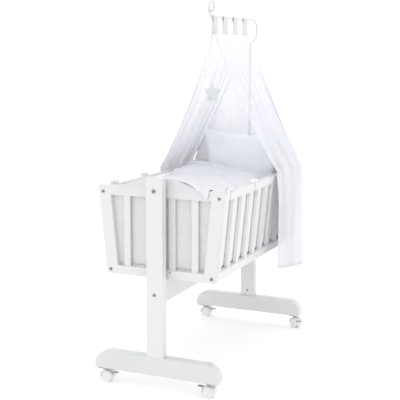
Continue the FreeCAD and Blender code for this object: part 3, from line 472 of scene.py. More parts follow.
# nest_cotton and nest_side are one fabric: nest_side is a lighter, glowing copy for the side pads, painted
# light where they are seen in shade through the slats.
cotton("nest_cotton", (0.745, 0.75, 0.76), (0.79, 0.795, 0.805), 0.0012, 0.2, 0.86, striped)
cotton("nest_side", (0.80, 0.80, 0.80), (0.84, 0.84, 0.84), 0.0012, 0.2, 0.86, striped, glow=0.20)
cotton("ribbon", (0.84, 0.845, 0.86), (0.90, 0.905, 0.915), 0.0006, 0.6, 0.5)
cotton("tab_cotton", (0.60, 0.605, 0.615), (0.65, 0.655, 0.665), 0.0008, 0.1, glow=0.16)
voile("voile", 0.36, 0.90, (0.79, 0.795, 0.85), (0.725, 0.73, 0.765), 0.02)
voile("voile_hem", 0.82, 0.95, (0.52, 0.53, 0.56), (0.66, 0.67, 0.71), 0.0)
cotton("star_cotton", (0.665, 0.70, 0.72), (0.72, 0.75, 0.77), 0.0011, 0.3)
cotton("cord", (0.70, 0.71, 0.71), (0.80, 0.81, 0.81), 0.0005, 0.2, 0.8)
cotton("piping", (0.62, 0.64, 0.68), (0.70, 0.72, 0.75), 0.0006, 0.3, 0.7)


def dress(made, *names):
    """Give a piece its materials, the first of them everywhere unless faces say otherwise."""
    made.data.materials.clear()
    for name in names:
        made.data.materials.append(MATERIALS[name])


def finish_piece(made, body, replaced=()):
    """Ride a finished piece on its body and the CAD nodes that it stands for."""
    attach(made, body)
    if replaced:
        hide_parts(*replaced)
    return made


# ---- camera and cord


def make_camera():
    """The camera at the photograph's viewing angle."""
    data = bpy.data.cameras.new("camera")
    data.sensor_width = 36.0
    data.lens = 81.81
    data.shift_y = -0.10
    data.clip_start = 0.05
    data.clip_end = 200.0
    made = bpy.data.objects.new("camera", data)
    down, heading = 0.11708, 0.41543
    made.location = (1.5413, -3.5803, 1.3076)
    made.rotation_euler = (math.pi / 2 - down, 0.0, heading)
    SCENE.collection.objects.link(made)
    SCENE.camera = made


def make_star_cord():
    """The star's hanging cord, from its ring down to the star's top point."""
    low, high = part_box("star_cord")
    y = (low[1] + high[1]) / 2
    curve = bpy.data.curves.new("star_hanging_cord", "CURVE")
    curve.dimensions = "3D"
    spline = curve.splines.new("NURBS")
    spline.points.add(2)
    route = [(0, y, high[2]), (0, y, (low[2] + high[2]) / 2), (0, y, low[2])]
    for point, place_at in zip(spline.points, route):
        point.co = (*place_at, 1.0)
    spline.order_u = 3
    spline.use_endpoint_u = True
    curve.bevel_depth = 0.001
    curve.bevel_resolution = 3
    made = bpy.data.objects.new("star_hanging_cord", curve)
    SCENE.collection.objects.link(made)
    curve.materials.append(MATERIALS["cord"])
    finish_piece(made, "star_pendant", ["star_cord"])


# ---- canopy

BAR_Z = 1.464
BAR_WRAP = 0.0056         # radius of the tabs round the bar
RIDGE_Z = 1.400           # the veil's upper edge, where the tabs are sewn on
RIDGE_FRONT = 0.055
RIDGE_BACK = 0.470
RAIL_Z = 0.794            # the top of the side rails
RAIL_REACH = 0.2725       # from the middle to where the veil leaves a rail
SIDE_REAR = 0.472         # rear edge of the veil's sides at the rails
SIDE_FRONT = {"left": 0.087, "right": 0.116}    # their front edge at the rails
HEM_FRONT = {"left": 0.070, "right": 0.088}     # and at the lower hem
HEM_FRONT_Z, HEM_REAR_Z = 0.382, 0.320
BACK_HALF = 0.270         # half of the back's width at the rails
HEM_WIDTH = 0.011
FOLD, FOLD_DRIFT = 0.086, 0.31        # pitch of the veil's deep folds, and of their unevenness
CREASE, CREASE_DRIFT = 0.041, 0.23    # the same for the shallow creases between them
TAB_PLACES = (0.048, 0.161, 0.281, 0.406)
TAB_WIDTH = 0.060


def smooth_step(value):
    value = np.clip(value, 0, 1)
    return value * value * (3 - 2 * value)


def veil_column(along, side_length, back_length):
    """For a place along the cloth's lower edge: its part, and how far along that part from 0 to 1."""
    if along <= side_length:
        return "left", along / side_length
    if along >= side_length + back_length:
        return "right", 1 - (along - side_length - back_length) / side_length
    return "back", (along - side_length) / back_length


def veil_point(part, k, v, wing, along):
    """A point of the veil: v runs from the ridge to the rails, wing from the rails to the lower hem."""
    turn = math.sin(TAU * along / FOLD + 1.6 * math.sin(TAU * along / FOLD_DRIFT) + 0.5 * v)
    turn += 0.35 * math.sin(TAU * along / CREASE + 2.0 * math.sin(TAU * along / CREASE_DRIFT) - 0.8 * v)
    sag = np.sin(math.pi * v) ** 0.85
    z = RIDGE_Z - (RIDGE_Z - RAIL_Z) * v
    if part == "back":
        x = (2 * k - 1) * (0.003 + (BACK_HALF - 0.003) * v ** 1.05)
        y = RIDGE_BACK + 0.004 * (1 - v) - 0.021 * smooth_step(v * 1.05)
        y += turn * (0.0015 + 0.0035 * v * (1 - v) * 4) - 0.003 * sag
        y -= 0.012 * wing
        z -= 0.026 * wing * (1 - abs(2 * k - 1) ** 6)
        return x, y, z
    side = -1 if part == "left" else 1
    front_low = SIDE_FRONT[part]
    y_high = RIDGE_FRONT + (RIDGE_BACK - RIDGE_FRONT) * k
    y_low = front_low + (SIDE_REAR - front_low) * k
    y = y_high + (y_low - y_high) * v
    reach = RAIL_REACH + 0.006 * k
    x = 0.0025 + (reach - 0.0025) * v
    tuck = 0.026 * sag * (1.0 - 0.42 * k)
    x -= tuck * 0.93
    z -= tuck * 0.36
    spread = 0.0015 + 0.0055 * v * (1.15 - v) * 3.2
    x += turn * spread
    near_tab = min(abs(y_high - t - TAB_WIDTH / 2) for t in TAB_PLACES)
    z -= 0.006 * (1 - v) ** 6 * smooth_step((near_tab - 0.03) / 0.03)
    if wing > 0:
        drop = RAIL_Z - (HEM_FRONT_Z + (HEM_REAR_Z - HEM_FRONT_Z) * k ** 0.8)
        z = RAIL_Z - 0.004 - drop * wing
        y += ((HEM_FRONT[part] - front_low) * (1 - k) + 0.010 * k) * wing
        fall = smooth_step(wing * 5)
        x = reach + 0.006 * fall + 0.004 * wing + turn * (0.0010 + 0.0052 * smooth_step(wing * 2.2))
        x += 0.004 * math.sin(TAU * along / 0.16 + 2.0) * smooth_step(wing * 1.5)
    return side * x, y, z


def make_veil():
    """The veil: one sheer cloth over the bar, its sides over the rails, its back tucked in at the head."""
    side_length, back_length = 0.42, 0.56
    length = 2 * side_length + back_length
    columns, upper, lower = 421, 96, 60
    slit = 89             # rows joined between the sides and the back; below them they hang apart
    points, faces, hem_faces = [], [], []
    grid = {}
    parts = []
    for column in range(columns):
        along = length * column / (columns - 1)
        part, k = veil_column(along, side_length, back_length)
        parts.append((part, along))
        for row in range(upper + lower):
            v = min(1.0, row / (upper - 1))
            wing = max(0.0, (row - upper + 1) / lower)
            grid[column, row] = len(points)
            points.append(veil_point(part, k, v, wing, along))
    back_rows = upper + 14
    for column in range(columns - 1):
        here, there = parts[column][0], parts[column + 1][0]
        rows = back_rows if "back" in (here, there) else upper + lower - 1
        if here != there:
            rows = slit
        for row in range(rows):
            corners = ((column, row), (column, row + 1), (column + 1, row + 1), (column + 1, row))
            faces.append(tuple(grid[corner] for corner in corners))
            from_edge = min(parts[column][1], length - parts[column][1])
            hem_faces.append(1 if from_edge < HEM_WIDTH or row >= rows - 2 else 0)
    made = add_object("veil_cloth", points, faces)
    mesh = bmesh.new()
    mesh.from_mesh(made.data)
    loose = [vertex for vertex in mesh.verts if not vertex.link_faces]
    bmesh.ops.delete(mesh, geom=loose, context="VERTS")
    mesh.to_mesh(made.data)
    mesh.free()
    dress(made, "voile", "voile_hem")
    made.data.polygons.foreach_set("material_index", hem_faces)
    relax(made, 2, 0.4)
    return made


def make_tabs():
    """The four fabric loops that carry the veil on the bar."""
    points, faces = [], []
    around = 15
    for start in TAB_PLACES:
        path = [(-0.0011, RIDGE_Z - 0.010), (-0.0008, RIDGE_Z + 0.004), (-0.0008, RIDGE_Z + 0.034)]
        path += [(-0.0022, BAR_Z - 0.011), (-0.0054, BAR_Z - 0.003)]
        for step in range(around):
            angle = math.pi - math.pi * step / (around - 1)
            path.append((BAR_WRAP * math.cos(angle), BAR_Z + BAR_WRAP * math.sin(angle)))
        path += [(-x, z) for x, z in path[4::-1]]
        offset = len(points)
        across = 9
        for index, (x, z) in enumerate(path):
            rise = (z - RIDGE_Z) / (BAR_Z - RIDGE_Z)
            narrow = 0.5 * TAB_WIDTH * (1 - 0.14 * math.sin(math.pi * min(1.0, max(0.0, rise)))) - 0.001
            for step in range(across):
                t = 2 * step / (across - 1) - 1
                crumple = 0.0004 * math.sin(7 * t + 40 * start + 2.5 * rise)
                side = 1 if index > len(path) / 2 else -1
                points.append((x + crumple * side, start + TAB_WIDTH / 2 + narrow * t, z))
        faces += [tuple(offset + q for q in quad) for quad in grid_faces(len(path), across)]
    made = add_object("veil_tabs", points, faces)
    subdivide(made)
    dress(made, "tab_cotton")
    return finish_piece(made, "stand")


def make_canopy():
    """Hang the veil and its tabs: the tabs ride on the stand, and the cloth is left on no body."""
    tabs = make_tabs()
    cloth = make_veil()
    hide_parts("veil", "veil_skirts")
    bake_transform(cloth)


def star_outline(angle, outer, inner):
    """Distance from the middle to the edge of a five-pointed star with rounded points."""
    sector = (angle + math.pi / 5) % (TAU / 5) - math.pi / 5
    tip = np.array([outer, 0.0])
    notch = np.array([inner * math.cos(math.pi / 5), inner * math.sin(math.pi / 5)])
    way = notch - tip
    a = abs(sector)
    reach = (tip[0] * way[1] - tip[1] * way[0]) / (math.cos(a) * way[1] - math.sin(a) * way[0])
    return reach - 0.0045 * math.exp(-((a / 0.09) ** 2))


def make_star():
    """The stuffed star: two crowned faces sewn round the rim, with a ridge down each point."""
    low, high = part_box("star")
    outer, inner, thick = 0.053, 0.0255, 0.0135
    centre_z = high[2] - outer
    turn = math.radians(-17)
    columns, rings = 160, 15
    points = []
    for side in (-1, 1):
        for ring in range(rings):
            t = ring / (rings - 1)
            for column in range(columns):
                angle = TAU * column / columns
                r = star_outline(angle, outer, inner) * t
                body = math.sqrt(max(0.0, 1 - t ** 2.2))
                width = thick * body * (0.62 + 0.38 * (1 - t))
                pucker = 1 + 0.06 * math.sin(columns / 4 * angle) * t ** 3
                points.append((r * math.sin(angle), side * width * pucker, r * math.cos(angle)))
    faces = grid_faces(rings, columns, closed=True)
    other = grid_faces(rings, columns, closed=True, offset=rings * columns)
    faces += [tuple(reversed(quad)) for quad in other]
    made = add_object("star_cushion", points, faces)
    clean_mesh(made, 0.00004)
    dent = ripple(points_of(made), 0.035, 5)[:, None] * 0.0008
    set_points(made, points_of(made) + normals_of(made) * dent)
    middle = Matrix.Translation((0, (low[1] + high[1]) / 2, centre_z))
    made.data.transform(middle @ Matrix.Rotation(turn, 4, "Z"))
    made.data.shade_smooth()
    dress(made, "star_cotton")
    finish_piece(made, "star_pendant", ["star"])


# ---- bedding

BODY_LOW = 0.435
BODY_HALF = 0.2162        # from the middle to the middle of a side, at BODY_LOW
LEAN = 0.1
NEST_LOW = 0.4766
PILLOW_SIZE = (0.387, 0.074, 0.410)
PILLOW_Y = 0.379
QUILT_FRONT, QUILT_REAR, QUILT_LOW = -0.4395, 0.346, 0.5385


def side_middle(height):
    """How far the middle of a leaning side is from the cradle's middle, at a height."""
    return BODY_HALF + LEAN * (height - BODY_LOW)


def inner_half(height):
    """Half of the cradle's inside width at a height."""
    return side_middle(height) - 0.012


def make_pillow():
    """The pillow: two squares of cotton sewn together and inflated, standing at the head end."""
    foot_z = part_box("pillow")[0][2]
    width, height = 0.414, 0.420
    cells = 56
    n = cells + 1
    points, index = [], {}
    for side in (-1, 1):
        for row in range(n):
            for column in range(n):
                rim = row in (0, cells) or column in (0, cells)
                if side == 1 and rim:
                    index[side, row, column] = index[-1, row, column]
                    continue
                u = 2 * column / cells - 1
                w = 2 * row / cells - 1
                crown = 0.010 * (1 - u ** 4) * (1 - w ** 4)
                index[side, row, column] = len(points)
                points.append((u * width / 2, side * crown, (w + 1) * height / 2))
    faces = []
    for side in (-1, 1):
        for row in range(cells):
            for column in range(cells):
                quad = [index[side, row, column], index[side, row, column + 1]]
                quad += [index[side, row + 1, column + 1], index[side, row + 1, column]]
                faces.append(tuple(quad if side == -1 else reversed(quad)))
    made = add_object("pillow_cushion", points, faces)
    simulate(made, 2.0, 22, bending=0.05, stiffness=26.0)
    here = points_of(made)
    here -= (here.max(axis=0) + here.min(axis=0)) / 2
    size = here.max(axis=0) - here.min(axis=0)
    here *= np.array(PILLOW_SIZE) / size
    here[:, 2] += 0.207
    slump = np.clip(1 - here[:, 2] / 0.16, 0, 1)
    here[:, 1] *= 1 + 0.10 * slump
    set_points(made, here)
    subdivide(made)
    wrinkle = ripple(points_of(made), 0.09, 21)[:, None]
    set_points(made, points_of(made) + normals_of(made) * wrinkle * 0.0016)
    lean = Matrix.Rotation(math.radians(-3.0), 4, "X")
    made.data.transform(Matrix.Translation((0, PILLOW_Y, foot_z + 0.001)) @ lean)
    dress(made, "pillow_cotton")
    finish_piece(made, "cradle", ["pillow"])


def soft_block(points, faces, low, high, z_low, z_high, radius, tilt):
    """Add a rounded block between two Y limits, following the leaning sides."""
    cells = 26
    middle = np.array([0, (low + high) / 2, (z_low + z_high) / 2])
    half = np.array([1.0, (high - low) / 2, (z_high - z_low) / 2])
    seen = {}
    for axis in range(3):
        for end in (-1, 1):
            for i in range(cells):
                for j in range(cells):
                    corners = []
                    for a, b in ((i, j), (i + 1, j), (i + 1, j + 1), (i, j + 1)):
                        unit = [0, 0, 0]
                        unit[axis] = end
                        unit[(axis + 1) % 3] = 2 * a / cells - 1
                        unit[(axis + 2) % 3] = 2 * b / cells - 1
                        key = tuple(round(q, 5) for q in unit)
                        if key not in seen:
                            seen[key] = len(points)
                            wide = half.copy()
                            wide[0] = inner_half(middle[2] + unit[2] * half[2]) - 0.015
                            at = np.array(unit) * wide
                            core = np.clip(at, -(wide - radius), wide - radius)
                            off = at - core
                            far = np.linalg.norm(off)
                            at = core + off / max(far, 1e-9) * min(radius, far)
                            at = at + middle
                            at[2] += tilt * at[0] * (0.5 + 0.5 * unit[2])
                            points.append(tuple(at))
                        corners.append(seen[key])
                    faces.append(tuple(corners if end > 0 else reversed(corners)))


def make_quilt():
    """The quilt: flat over the mattress, its upper half folded back into a soft crumpled heap."""
    points, faces = [], []
    for block in (      # front, rear, bottom, top, corner radius, tilt
        (-0.434, 0.338, 0.5405, 0.617, 0.034, 0.0),
        (-0.262, 0.340, 0.606, 0.700, 0.040, -0.02),
        (-0.250, 0.338, 0.684, 0.745, 0.030, -0.02),
        (-0.238, 0.336, 0.722, 0.760, 0.018, -0.02),
        (0.080, 0.336, 0.736, 0.772, 0.017, -0.06),
        (0.215, 0.338, 0.742, 0.780, 0.018, -0.09),
    ):
        soft_block(points, faces, *block)
    made = add_object("quilt", points, faces)
    remesh(made, 0.0075)
    relax(made, 4)
    simulate(made, 4.0, 18, bending=0.3, cap=0.008)
    here = points_of(made)
    up = normals_of(made)
    swell = ripple(here * np.array([1.0, 0.8, 1.4]), 0.26, 3, 2)
    ridge = 1 - 2 * np.abs(ripple(here * np.array([0.7, 1.5, 1.0]), 0.120, 8, 3))
    fine = 1 - 2 * np.abs(ripple(here, 0.060, 13, 3))
    heap = smooth_step((here[:, 2] - 0.600) / 0.05)
    inside = smooth_step((inner_half(here[:, 2]) - 0.012 - np.abs(here[:, 0])) / 0.03)
    amount = (0.0050 * swell + 0.0085 * ridge * (0.35 + 0.65 * heap) + 0.0032 * fine) * (0.25 + 0.75 * inside)
    under = np.clip(-up[:, 2], 0, 1)
    amount *= 1 - 0.85 * under
    set_points(made, here + up * amount[:, None])
    relax(made, 1, 0.5)
    here = points_of(made)
    limit = inner_half(here[:, 2]) - 0.0125
    here[:, 0] = np.clip(here[:, 0], -limit, limit)
    here[:, 1] = np.clip(here[:, 1], QUILT_FRONT, QUILT_REAR)
    here[:, 2] = np.maximum(here[:, 2], QUILT_LOW)
    set_points(made, here)
    subdivide(made)
    dress(made, "quilt_cotton")
    finish_piece(made, "cradle", ["duvet"])


def make_mattress():
    """The foam mattress in its quilted cover, with a corded seam round its upper and lower rims."""
    low, high = (Vector(corner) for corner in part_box("mattress"))
    half = (high - low) / 2
    middle = (high + low) / 2
    columns, rows = 96, 9
    radius = 0.026
    cord_sides, cord_radius = 8, 0.002
    inset, crowning = 0.004, 0.004
    points = []
    for row in range(rows):
        t = row / (rows - 1)
        z = -half.z + inset + (2 * half.z - 2 * inset) * t
        for column in range(columns):
            angle = TAU * column / columns
            c, s = math.cos(angle), math.sin(angle)
            big = max(abs(c), abs(s))
            x, y = c / big * half.x, s / big * half.y
            cx = min(max(x, -(half.x - radius)), half.x - radius)
            cy = min(max(y, -(half.y - radius)), half.y - radius)
            off = math.hypot(x - cx, y - cy)
            if off > radius:
                x, y = cx + (x - cx) / off * radius, cy + (y - cy) / off * radius
            pull = 1 - 0.006 * (1 - abs(2 * t - 1) ** 3) + 0.004 * math.sin(math.pi * t)
            points.append((middle.x + x * pull, middle.y + y * pull, middle.z + z))
    faces = grid_faces(rows, columns, closed=True)
    rings = 10
    for end, level in ((0, -1), (rows - 1, 1)):
        rim = [points[end * columns + column] for column in range(columns)]
        last = [end * columns + column for column in range(columns)]
        for ring in range(1, rings + 1):
            t = 1 - ring / (rings + 0.35)
            crown = level * crowning * (1 - t ** 6)
            ids = []
            for x, y, z in rim:
                ids.append(len(points))
                points.append((middle.x + (x - middle.x) * t, middle.y + (y - middle.y) * t, z + crown))
            for column in range(columns):
                after = (column + 1) % columns
                quad = (last[column], last[after], ids[after], ids[column])
                faces.append(quad if level > 0 else tuple(reversed(quad)))
            last = ids
        faces.append(tuple(last if level > 0 else reversed(last)))
    made = add_object("mattress_foam", points, faces)
    dress(made, "mattress_cover", "piping")
    cord_points, cord_faces = [], []
    for end in (0, rows - 1):
        rim = [Vector(points[end * columns + column]) for column in range(columns)]
        offset = len(cord_points)
        for index, point in enumerate(rim):
            ahead = (rim[(index + 1) % columns] - rim[index - 1]).normalized()
            out = ahead.cross(Vector((0, 0, 1))).normalized()
            for step in range(cord_sides):
                angle = TAU * step / cord_sides
                sideways = out * (cord_radius * math.cos(angle) - 0.0012)
                cord_points.append(point + sideways + Vector((0, 0, cord_radius * math.sin(angle))))
        for index in range(columns):
            for step in range(cord_sides):
                a, b = (offset + row * cord_sides for row in (index, (index + 1) % columns))
                after = (step + 1) % cord_sides
                cord_faces.append((a + step, a + after, b + after, b + step))
    piping = add_object("mattress_piping", cord_points, cord_faces)
    dress(piping, "piping")
    finish_piece(made, "cradle", ["mattress"])
    finish_piece(piping, "cradle")


def pad_profile(u, w, length, height, channels):
    """Thickness from 0 to 1 of a quilted pad: thin at its seams, full between them."""
    from_end = np.minimum(u, 1 - u) * length
    from_top = np.minimum(w, 1 - w) * height
    rim = np.minimum(from_end, from_top)
    rim_width = 0.022
    edge = np.sqrt(np.clip(rim / rim_width, 0, 1))
    cell = np.abs(np.sin(math.pi * u * channels))
    seam = 0.45 + 0.55 * np.clip(cell / 0.22, 0, 1) ** 0.6
    return edge * seam


def make_pad(name, origin, run, rise, inward, length, height, thick, channels, seed):
    """One padded panel of the nest, flat behind and quilted in front."""
    columns, rows = 121, 49
    u, w = np.meshgrid(np.linspace(0, 1, columns), np.linspace(0, 1, rows))
    u, w = u.ravel(), w.ravel()
    length_at = np.interp(w, (0, 1), length)
    base = np.array(origin)[None] + np.outer(w * height, rise)
    base = base + (u - 0.5)[:, None] * length_at[:, None] * np.array(run)[None]
    full = pad_profile(u, w, max(length), height, channels)
    loose = ripple(base, 0.11, seed) * 0.0016 * full
    front = base + np.outer(full * thick * 0.92 + loose + 0.0012, inward)
    back = base + np.outer(0.0006 * full, inward)
    top_roll = smooth_step((w - 0.9) / 0.1)
    wavy = 0.0012 * np.sin(TAU * u * length_at / 0.052) * top_roll
    front[:, 2] += wavy
    back[:, 2] += wavy
    points = np.vstack([back, front])
    count = columns * rows
    faces = grid_faces(rows, columns)
    faces += [tuple(q + count for q in reversed(quad)) for quad in grid_faces(rows, columns)]
    ring = list(range(columns))
    ring += [r * columns + columns - 1 for r in range(1, rows)]
    ring += [(rows - 1) * columns + c for c in range(columns - 2, -1, -1)]
    ring += [r * columns for r in range(rows - 2, 0, -1)]
    for index, a in enumerate(ring):
        b = ring[(index + 1) % len(ring)]
        faces.append((b, a, a + count, b + count))
    made = add_object(name, points, faces)
    clean_mesh(made)
    return made


def make_nest():
    """The padded nest that lines the cradle: two long pads and two end pads."""
    lean = 1 / math.hypot(1, LEAN)
    side_height, end_height, thick = 0.2960, 0.2985, 0.0098
    side_length, end_y, end_top = 0.878, 0.4515, 0.775
    pads = []
    for side in (-1, 1):
        foot = (side * (side_middle(NEST_LOW) - 0.0113), 0, NEST_LOW)
        rise = (side * LEAN * lean, 0, lean)
        inward = (-side * lean, 0, LEAN * lean)
        name = "nest_left" if side < 0 else "nest_right"
        along, lengths = (0, 1, 0), (side_length, side_length)
        pads.append(make_pad(name, foot, along, rise, inward, lengths, side_height, thick, 6, 30 + side))
    for end in (-1, 1):
        name = "nest_front" if end < 0 else "nest_head"
        lengths = [2 * (inner_half(height) - 0.001) for height in (NEST_LOW, end_top)]
        foot, inward = (0, end * end_y, NEST_LOW), (0, -end, 0)
        along, rise = (1, 0, 0), (0, 0, 1)
        pads.append(make_pad(name, foot, along, rise, inward, lengths, end_height, thick, 3, 40 + end))
    for number, pad in enumerate(pads):
        dress(pad, "nest_side" if number < 2 else "nest_cotton")
        finish_piece(pad, "cradle", ["bumper"] if number == 0 else ())


def ribbon_strip(path, widths, across, points, faces):
    """Add a ribbon that follows a path, with its width along the across direction."""
    start = len(points)
    cells = 5
    for point, width in zip(path, widths):
        for step in range(cells):
            t = 2 * step / (cells - 1) - 1
            cup = 0.0009 * (1 - t * t)
            points.append(Vector(point) + across * (width / 2 * t) + Vector((0, cup, 0)))
    faces.extend(grid_faces(len(path), cells, offset=start))


def make_bow(name, centre, heading, size, droop, seed):
    """A tied ribbon bow: two loops, a knot and two tails, facing along the heading."""
    rng = np.random.default_rng(seed)
    loop_length, loop_depth, loop_width = 0.024, 0.007, 0.012
    tail_length, knot_size = 0.030, (0.0085, 0.0095, 0.0105)
    points, faces = [], []
    up = Vector((0, 0, 1))
    for side in (-1, 1):
        tilt = -droop + rng.uniform(-0.15, 0.15)
        length = size * loop_length * (1 + rng.uniform(-0.1, 0.1))
        depth = size * loop_depth
        path, widths = [], []
        for step in range(25):
            t = TAU * step / 24
            x = length / 2 * (1 - math.cos(t))
            y = depth * math.sin(t) * (0.35 + 0.65 * math.sin(t / 2))
            path.append((side * x * math.cos(tilt), y, x * math.sin(tilt)))
            widths.append(size * loop_width * (0.30 + 0.70 * math.sin(t / 2) ** 0.8))
        across = (up * math.cos(tilt) - Vector((side, 0, 0)) * math.sin(tilt)).normalized()
        ribbon_strip(path, widths, across, points, faces)
        reach = size * (tail_length + rng.uniform(-0.003, 0.004))
        path, widths = [], []
        for step in range(13):
            t = step / 12
            x = side * size * (0.004 + 0.011 * t + 0.002 * math.sin(4 * t))
            path.append((x, -0.0035 - 0.002 * math.sin(3.4 * t), -reach * t ** 1.1))
            widths.append(size * (0.0045 + 0.005 * t))
        ribbon_strip(path, widths, Vector((1, 0, 0.15 * side)).normalized(), points, faces)
    made = add_object(name, points, faces)
    knot = bmesh.new()
    bmesh.ops.create_cube(knot, size=1.0)
    bmesh.ops.subdivide_edges(knot, edges=knot.edges, cuts=4, use_grid_fill=True)
    for vertex in knot.verts:
        round_at = vertex.co.normalized() * 0.5
        co = vertex.co.lerp(round_at, 0.75)
        crease = 0.0006 * math.sin(co.x * 30)
        vertex.co = Vector((co.x * knot_size[0], co.y * knot_size[1] + crease, co.z * knot_size[2])) * size
    knot.from_mesh(made.data)
    knot.to_mesh(made.data)
    knot.free()
    thicken(made, 0.0007)
    subdivide(made)
    turn = Matrix.Rotation(math.radians(heading), 4, "Z")
    made.data.transform(Matrix.Translation(centre) @ turn)
    dress(made, "ribbon")
    return made


def make_bows():
    """The bows that tie the nest to the rails, and the ribbon round the rail under each."""
    rail_x, bow_z, size, droop = side_middle(0.780), 0.7905, 1.3, 0.15
    number = 0
    for side in (-1, 1):
        for y in (-0.380, -0.110):
            number += 1
            centre = (side * (rail_x + 0.001), y, bow_z)
            bow = make_bow(f"bow_{number}", centre, 90 * side, size, droop, number)
            finish_piece(bow, "cradle", ["bumper_ties"] if number == 1 else ())
            wrap = rail_band(f"bow_band_{number}", side, y)
            finish_piece(wrap, "cradle")


def panel_top(x):
    """Height of the arched top of an end panel, this far from its middle."""
    radius, crown, shoulder, arch_half = 0.3451, 0.832, 0.7900, 0.165
    arch = crown - radius + math.sqrt(radius * radius - min(abs(x), arch_half) ** 2)
    return max(shoulder, arch)


def make_drape():
    """The quilt's loose corner, brought forward and lapped over the top of the front panel."""
    columns, rows = 66, 84
    rail_inner, rail_outer = 0.083, 0.2085      # its width on the rail
    back_inner, back_outer = -0.060, 0.222      # its width where it comes out of the quilt
    point_x = 0.200                             # where it hangs lowest
    points = []
    for column in range(columns):
        u = column / (columns - 1)
        x_rail = rail_inner + (rail_outer - rail_inner) * u
        x_back = back_inner + (back_outer - back_inner) * u
        crest = panel_top(x_rail) + 0.0052 + 0.004 * math.sin(math.pi * u)
        if x_rail < point_x:
            low = crest - 0.003 - (crest - 0.759) * ((x_rail - rail_inner) / 0.117) ** 4
        else:
            low = 0.757 + (0.790 - 0.757) * ((x_rail - point_x) / 0.0085) ** 1.3
        fold = math.sin(TAU * x_rail / 0.031 + 0.8) + 0.5 * math.sin(TAU * x_rail / 0.0145 + 2.1)
        route = [
            (x_back, -0.205, 0.7700 - 0.03 * x_back),
            (x_back * 0.75 + x_rail * 0.25, -0.290, 0.7680 - 0.03 * x_back),
            (x_back * 0.40 + x_rail * 0.60, -0.385, 0.7760),
            (x_back * 0.15 + x_rail * 0.85, -0.436, crest - 0.008),
            (x_rail, -0.4485, crest),
            (x_rail, -0.4620, crest + 0.0008),
            (x_rail, -0.4765, crest - 0.002),
            (x_rail, -0.4775, (crest + low) / 2),
            (x_rail + 0.001, -0.4765, low),
        ]
        knots = np.array(route)
        steps = np.concatenate([[0], np.cumsum(np.linalg.norm(np.diff(knots, axis=0), axis=1))])
        at = np.linspace(0, steps[-1], rows)
        line = np.stack([np.interp(at, steps, knots[:, axis]) for axis in range(3)], axis=1)
        for _ in range(3):
            line[1:-1] = 0.5 * line[1:-1] + 0.25 * (line[:-2] + line[2:])
        for row in range(rows):
            x, y, z = line[row]
            inner = smooth_step((-0.440 - y) / -0.06) * smooth_step((-0.205 - y) / -0.03)
            front = smooth_step((-0.470 - y) / 0.004)
            wander = math.sin(TAU * (x * 0.8 + y * 0.35) / 0.047)
            wander += 0.6 * math.sin(TAU * (x - y * 0.5) / 0.029 + 1.1)
            between = smooth_step((-0.440 - y) / -0.05) * smooth_step((-0.235 - y) / 0.07)
            z += 0.0035 * wander * inner - 0.075 * (1 - u) ** 2.5 * between
            y -= 0.0012 * (1.5 + fold) * front
            points.append((x, y, z))
    made = add_object("quilt_corner", points, grid_faces(columns, rows))
    thicken(made, 0.0012)
    subdivide(made)
    dress(made, "quilt_cotton")
    finish_piece(made, "cradle")


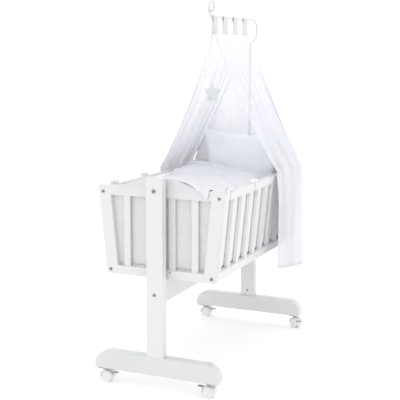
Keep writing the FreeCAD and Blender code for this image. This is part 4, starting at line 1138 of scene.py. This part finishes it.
def rail_band(name, side, y):
    """A ribbon wound once round a side's top rail."""
    rail_z = 0.7636
    points = []
    lean = Vector((side * LEAN, 0, 1)).normalized()
    out = Vector((side, 0, -LEAN)).normalized()
    middle = Vector((side * side_middle(rail_z), y, rail_z))
    half_x, half_z, corner, half_width = 0.0119, 0.0174, 0.004, 0.0048
    ring = []
    for sx, sz, first in ((1, 1, 0), (-1, 1, 1), (-1, -1, 2), (1, -1, 3)):
        for step in range(4):
            angle = math.pi / 2 * (first + step / 3)
            across = sx * (half_x - corner) + corner * math.cos(angle)
            rise = sz * (half_z - corner) + corner * math.sin(angle)
            ring.append(middle + out * across + lean * rise)
    cells = 5
    for step in range(cells):
        t = 2 * step / (cells - 1) - 1
        for point in ring:
            points.append(point + Vector((0, half_width * t, 0)))
    made = add_object(name, points, grid_faces(cells, len(ring), closed=True))
    thicken(made, 0.0005, -1.0)
    dress(made, "ribbon")
    return made


# ---- CAD nodes, stage


def dress_cad():
    """Give every carried-over CAD node the material of its slot."""
    slots = {row["node"]: row["material_slot"] for row in frame["record"]["subparts"]}
    for made in SCENE.objects:
        name = made.get("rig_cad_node")
        if name is not None and made.type == "MESH":
            dress(made, slots[name])


def make_stage():
    """A plain pale floor and soft studio light."""
    size, glow, sky = 40.0, 0.13, 1.13
    corners = [(-size, -size, 0), (size, -size, 0), (size, size, 0), (-size, size, 0)]
    floor = add_object("floor", corners, [(0, 1, 2, 3)], False)
    paper = new_material("floor_paper", (0.93, 0.93, 0.93), 0.9)
    mottle = noise(paper, place(paper), 3.0, 3.0)
    feed(paper, "Base Color", ramp(paper, mottle, (0.945, 0.945, 0.945), (0.96, 0.96, 0.96), 0.3, 0.7))
    tune(paper, {"Specular IOR Level": 0.0, "Emission Color": (1, 1, 1, 1), "Emission Strength": glow})
    floor.data.materials.append(paper)
    world = SCENE.world or bpy.data.worlds.new("world")
    SCENE.world = world
    world.use_nodes = True
    light = world.node_tree.nodes["Background"].inputs
    light["Color"].default_value = (1, 1, 1, 1)
    light["Strength"].default_value = sky
    for name, where, width, watts in (
        ("key", (-1.6, -2.2, 3.2), 2.2, 1.0),
        ("fill", (2.6, -0.8, 2.6), 2.4, 1.5),
        ("top", (0.2, 0.6, 3.6), 2.6, 5.0),
    ):
        data = bpy.data.lights.new(name, "AREA")
        data.shape = "DISK"
        data.size = width
        data.energy = watts
        lamp = bpy.data.objects.new(name, data)
        lamp.location = where
        from_cradle = Vector(where) - Vector((0, 0, 0.7))
        lamp.rotation_euler = from_cradle.to_track_quat("Z", "Y").to_euler()
        SCENE.collection.objects.link(lamp)
    SCENE.view_settings.view_transform = "Standard"


make_camera()
make_star_cord()
dress_cad()
make_canopy()
make_star()
make_mattress()
make_nest()
make_quilt()
make_pillow()
make_bows()
make_drape()
make_stage()
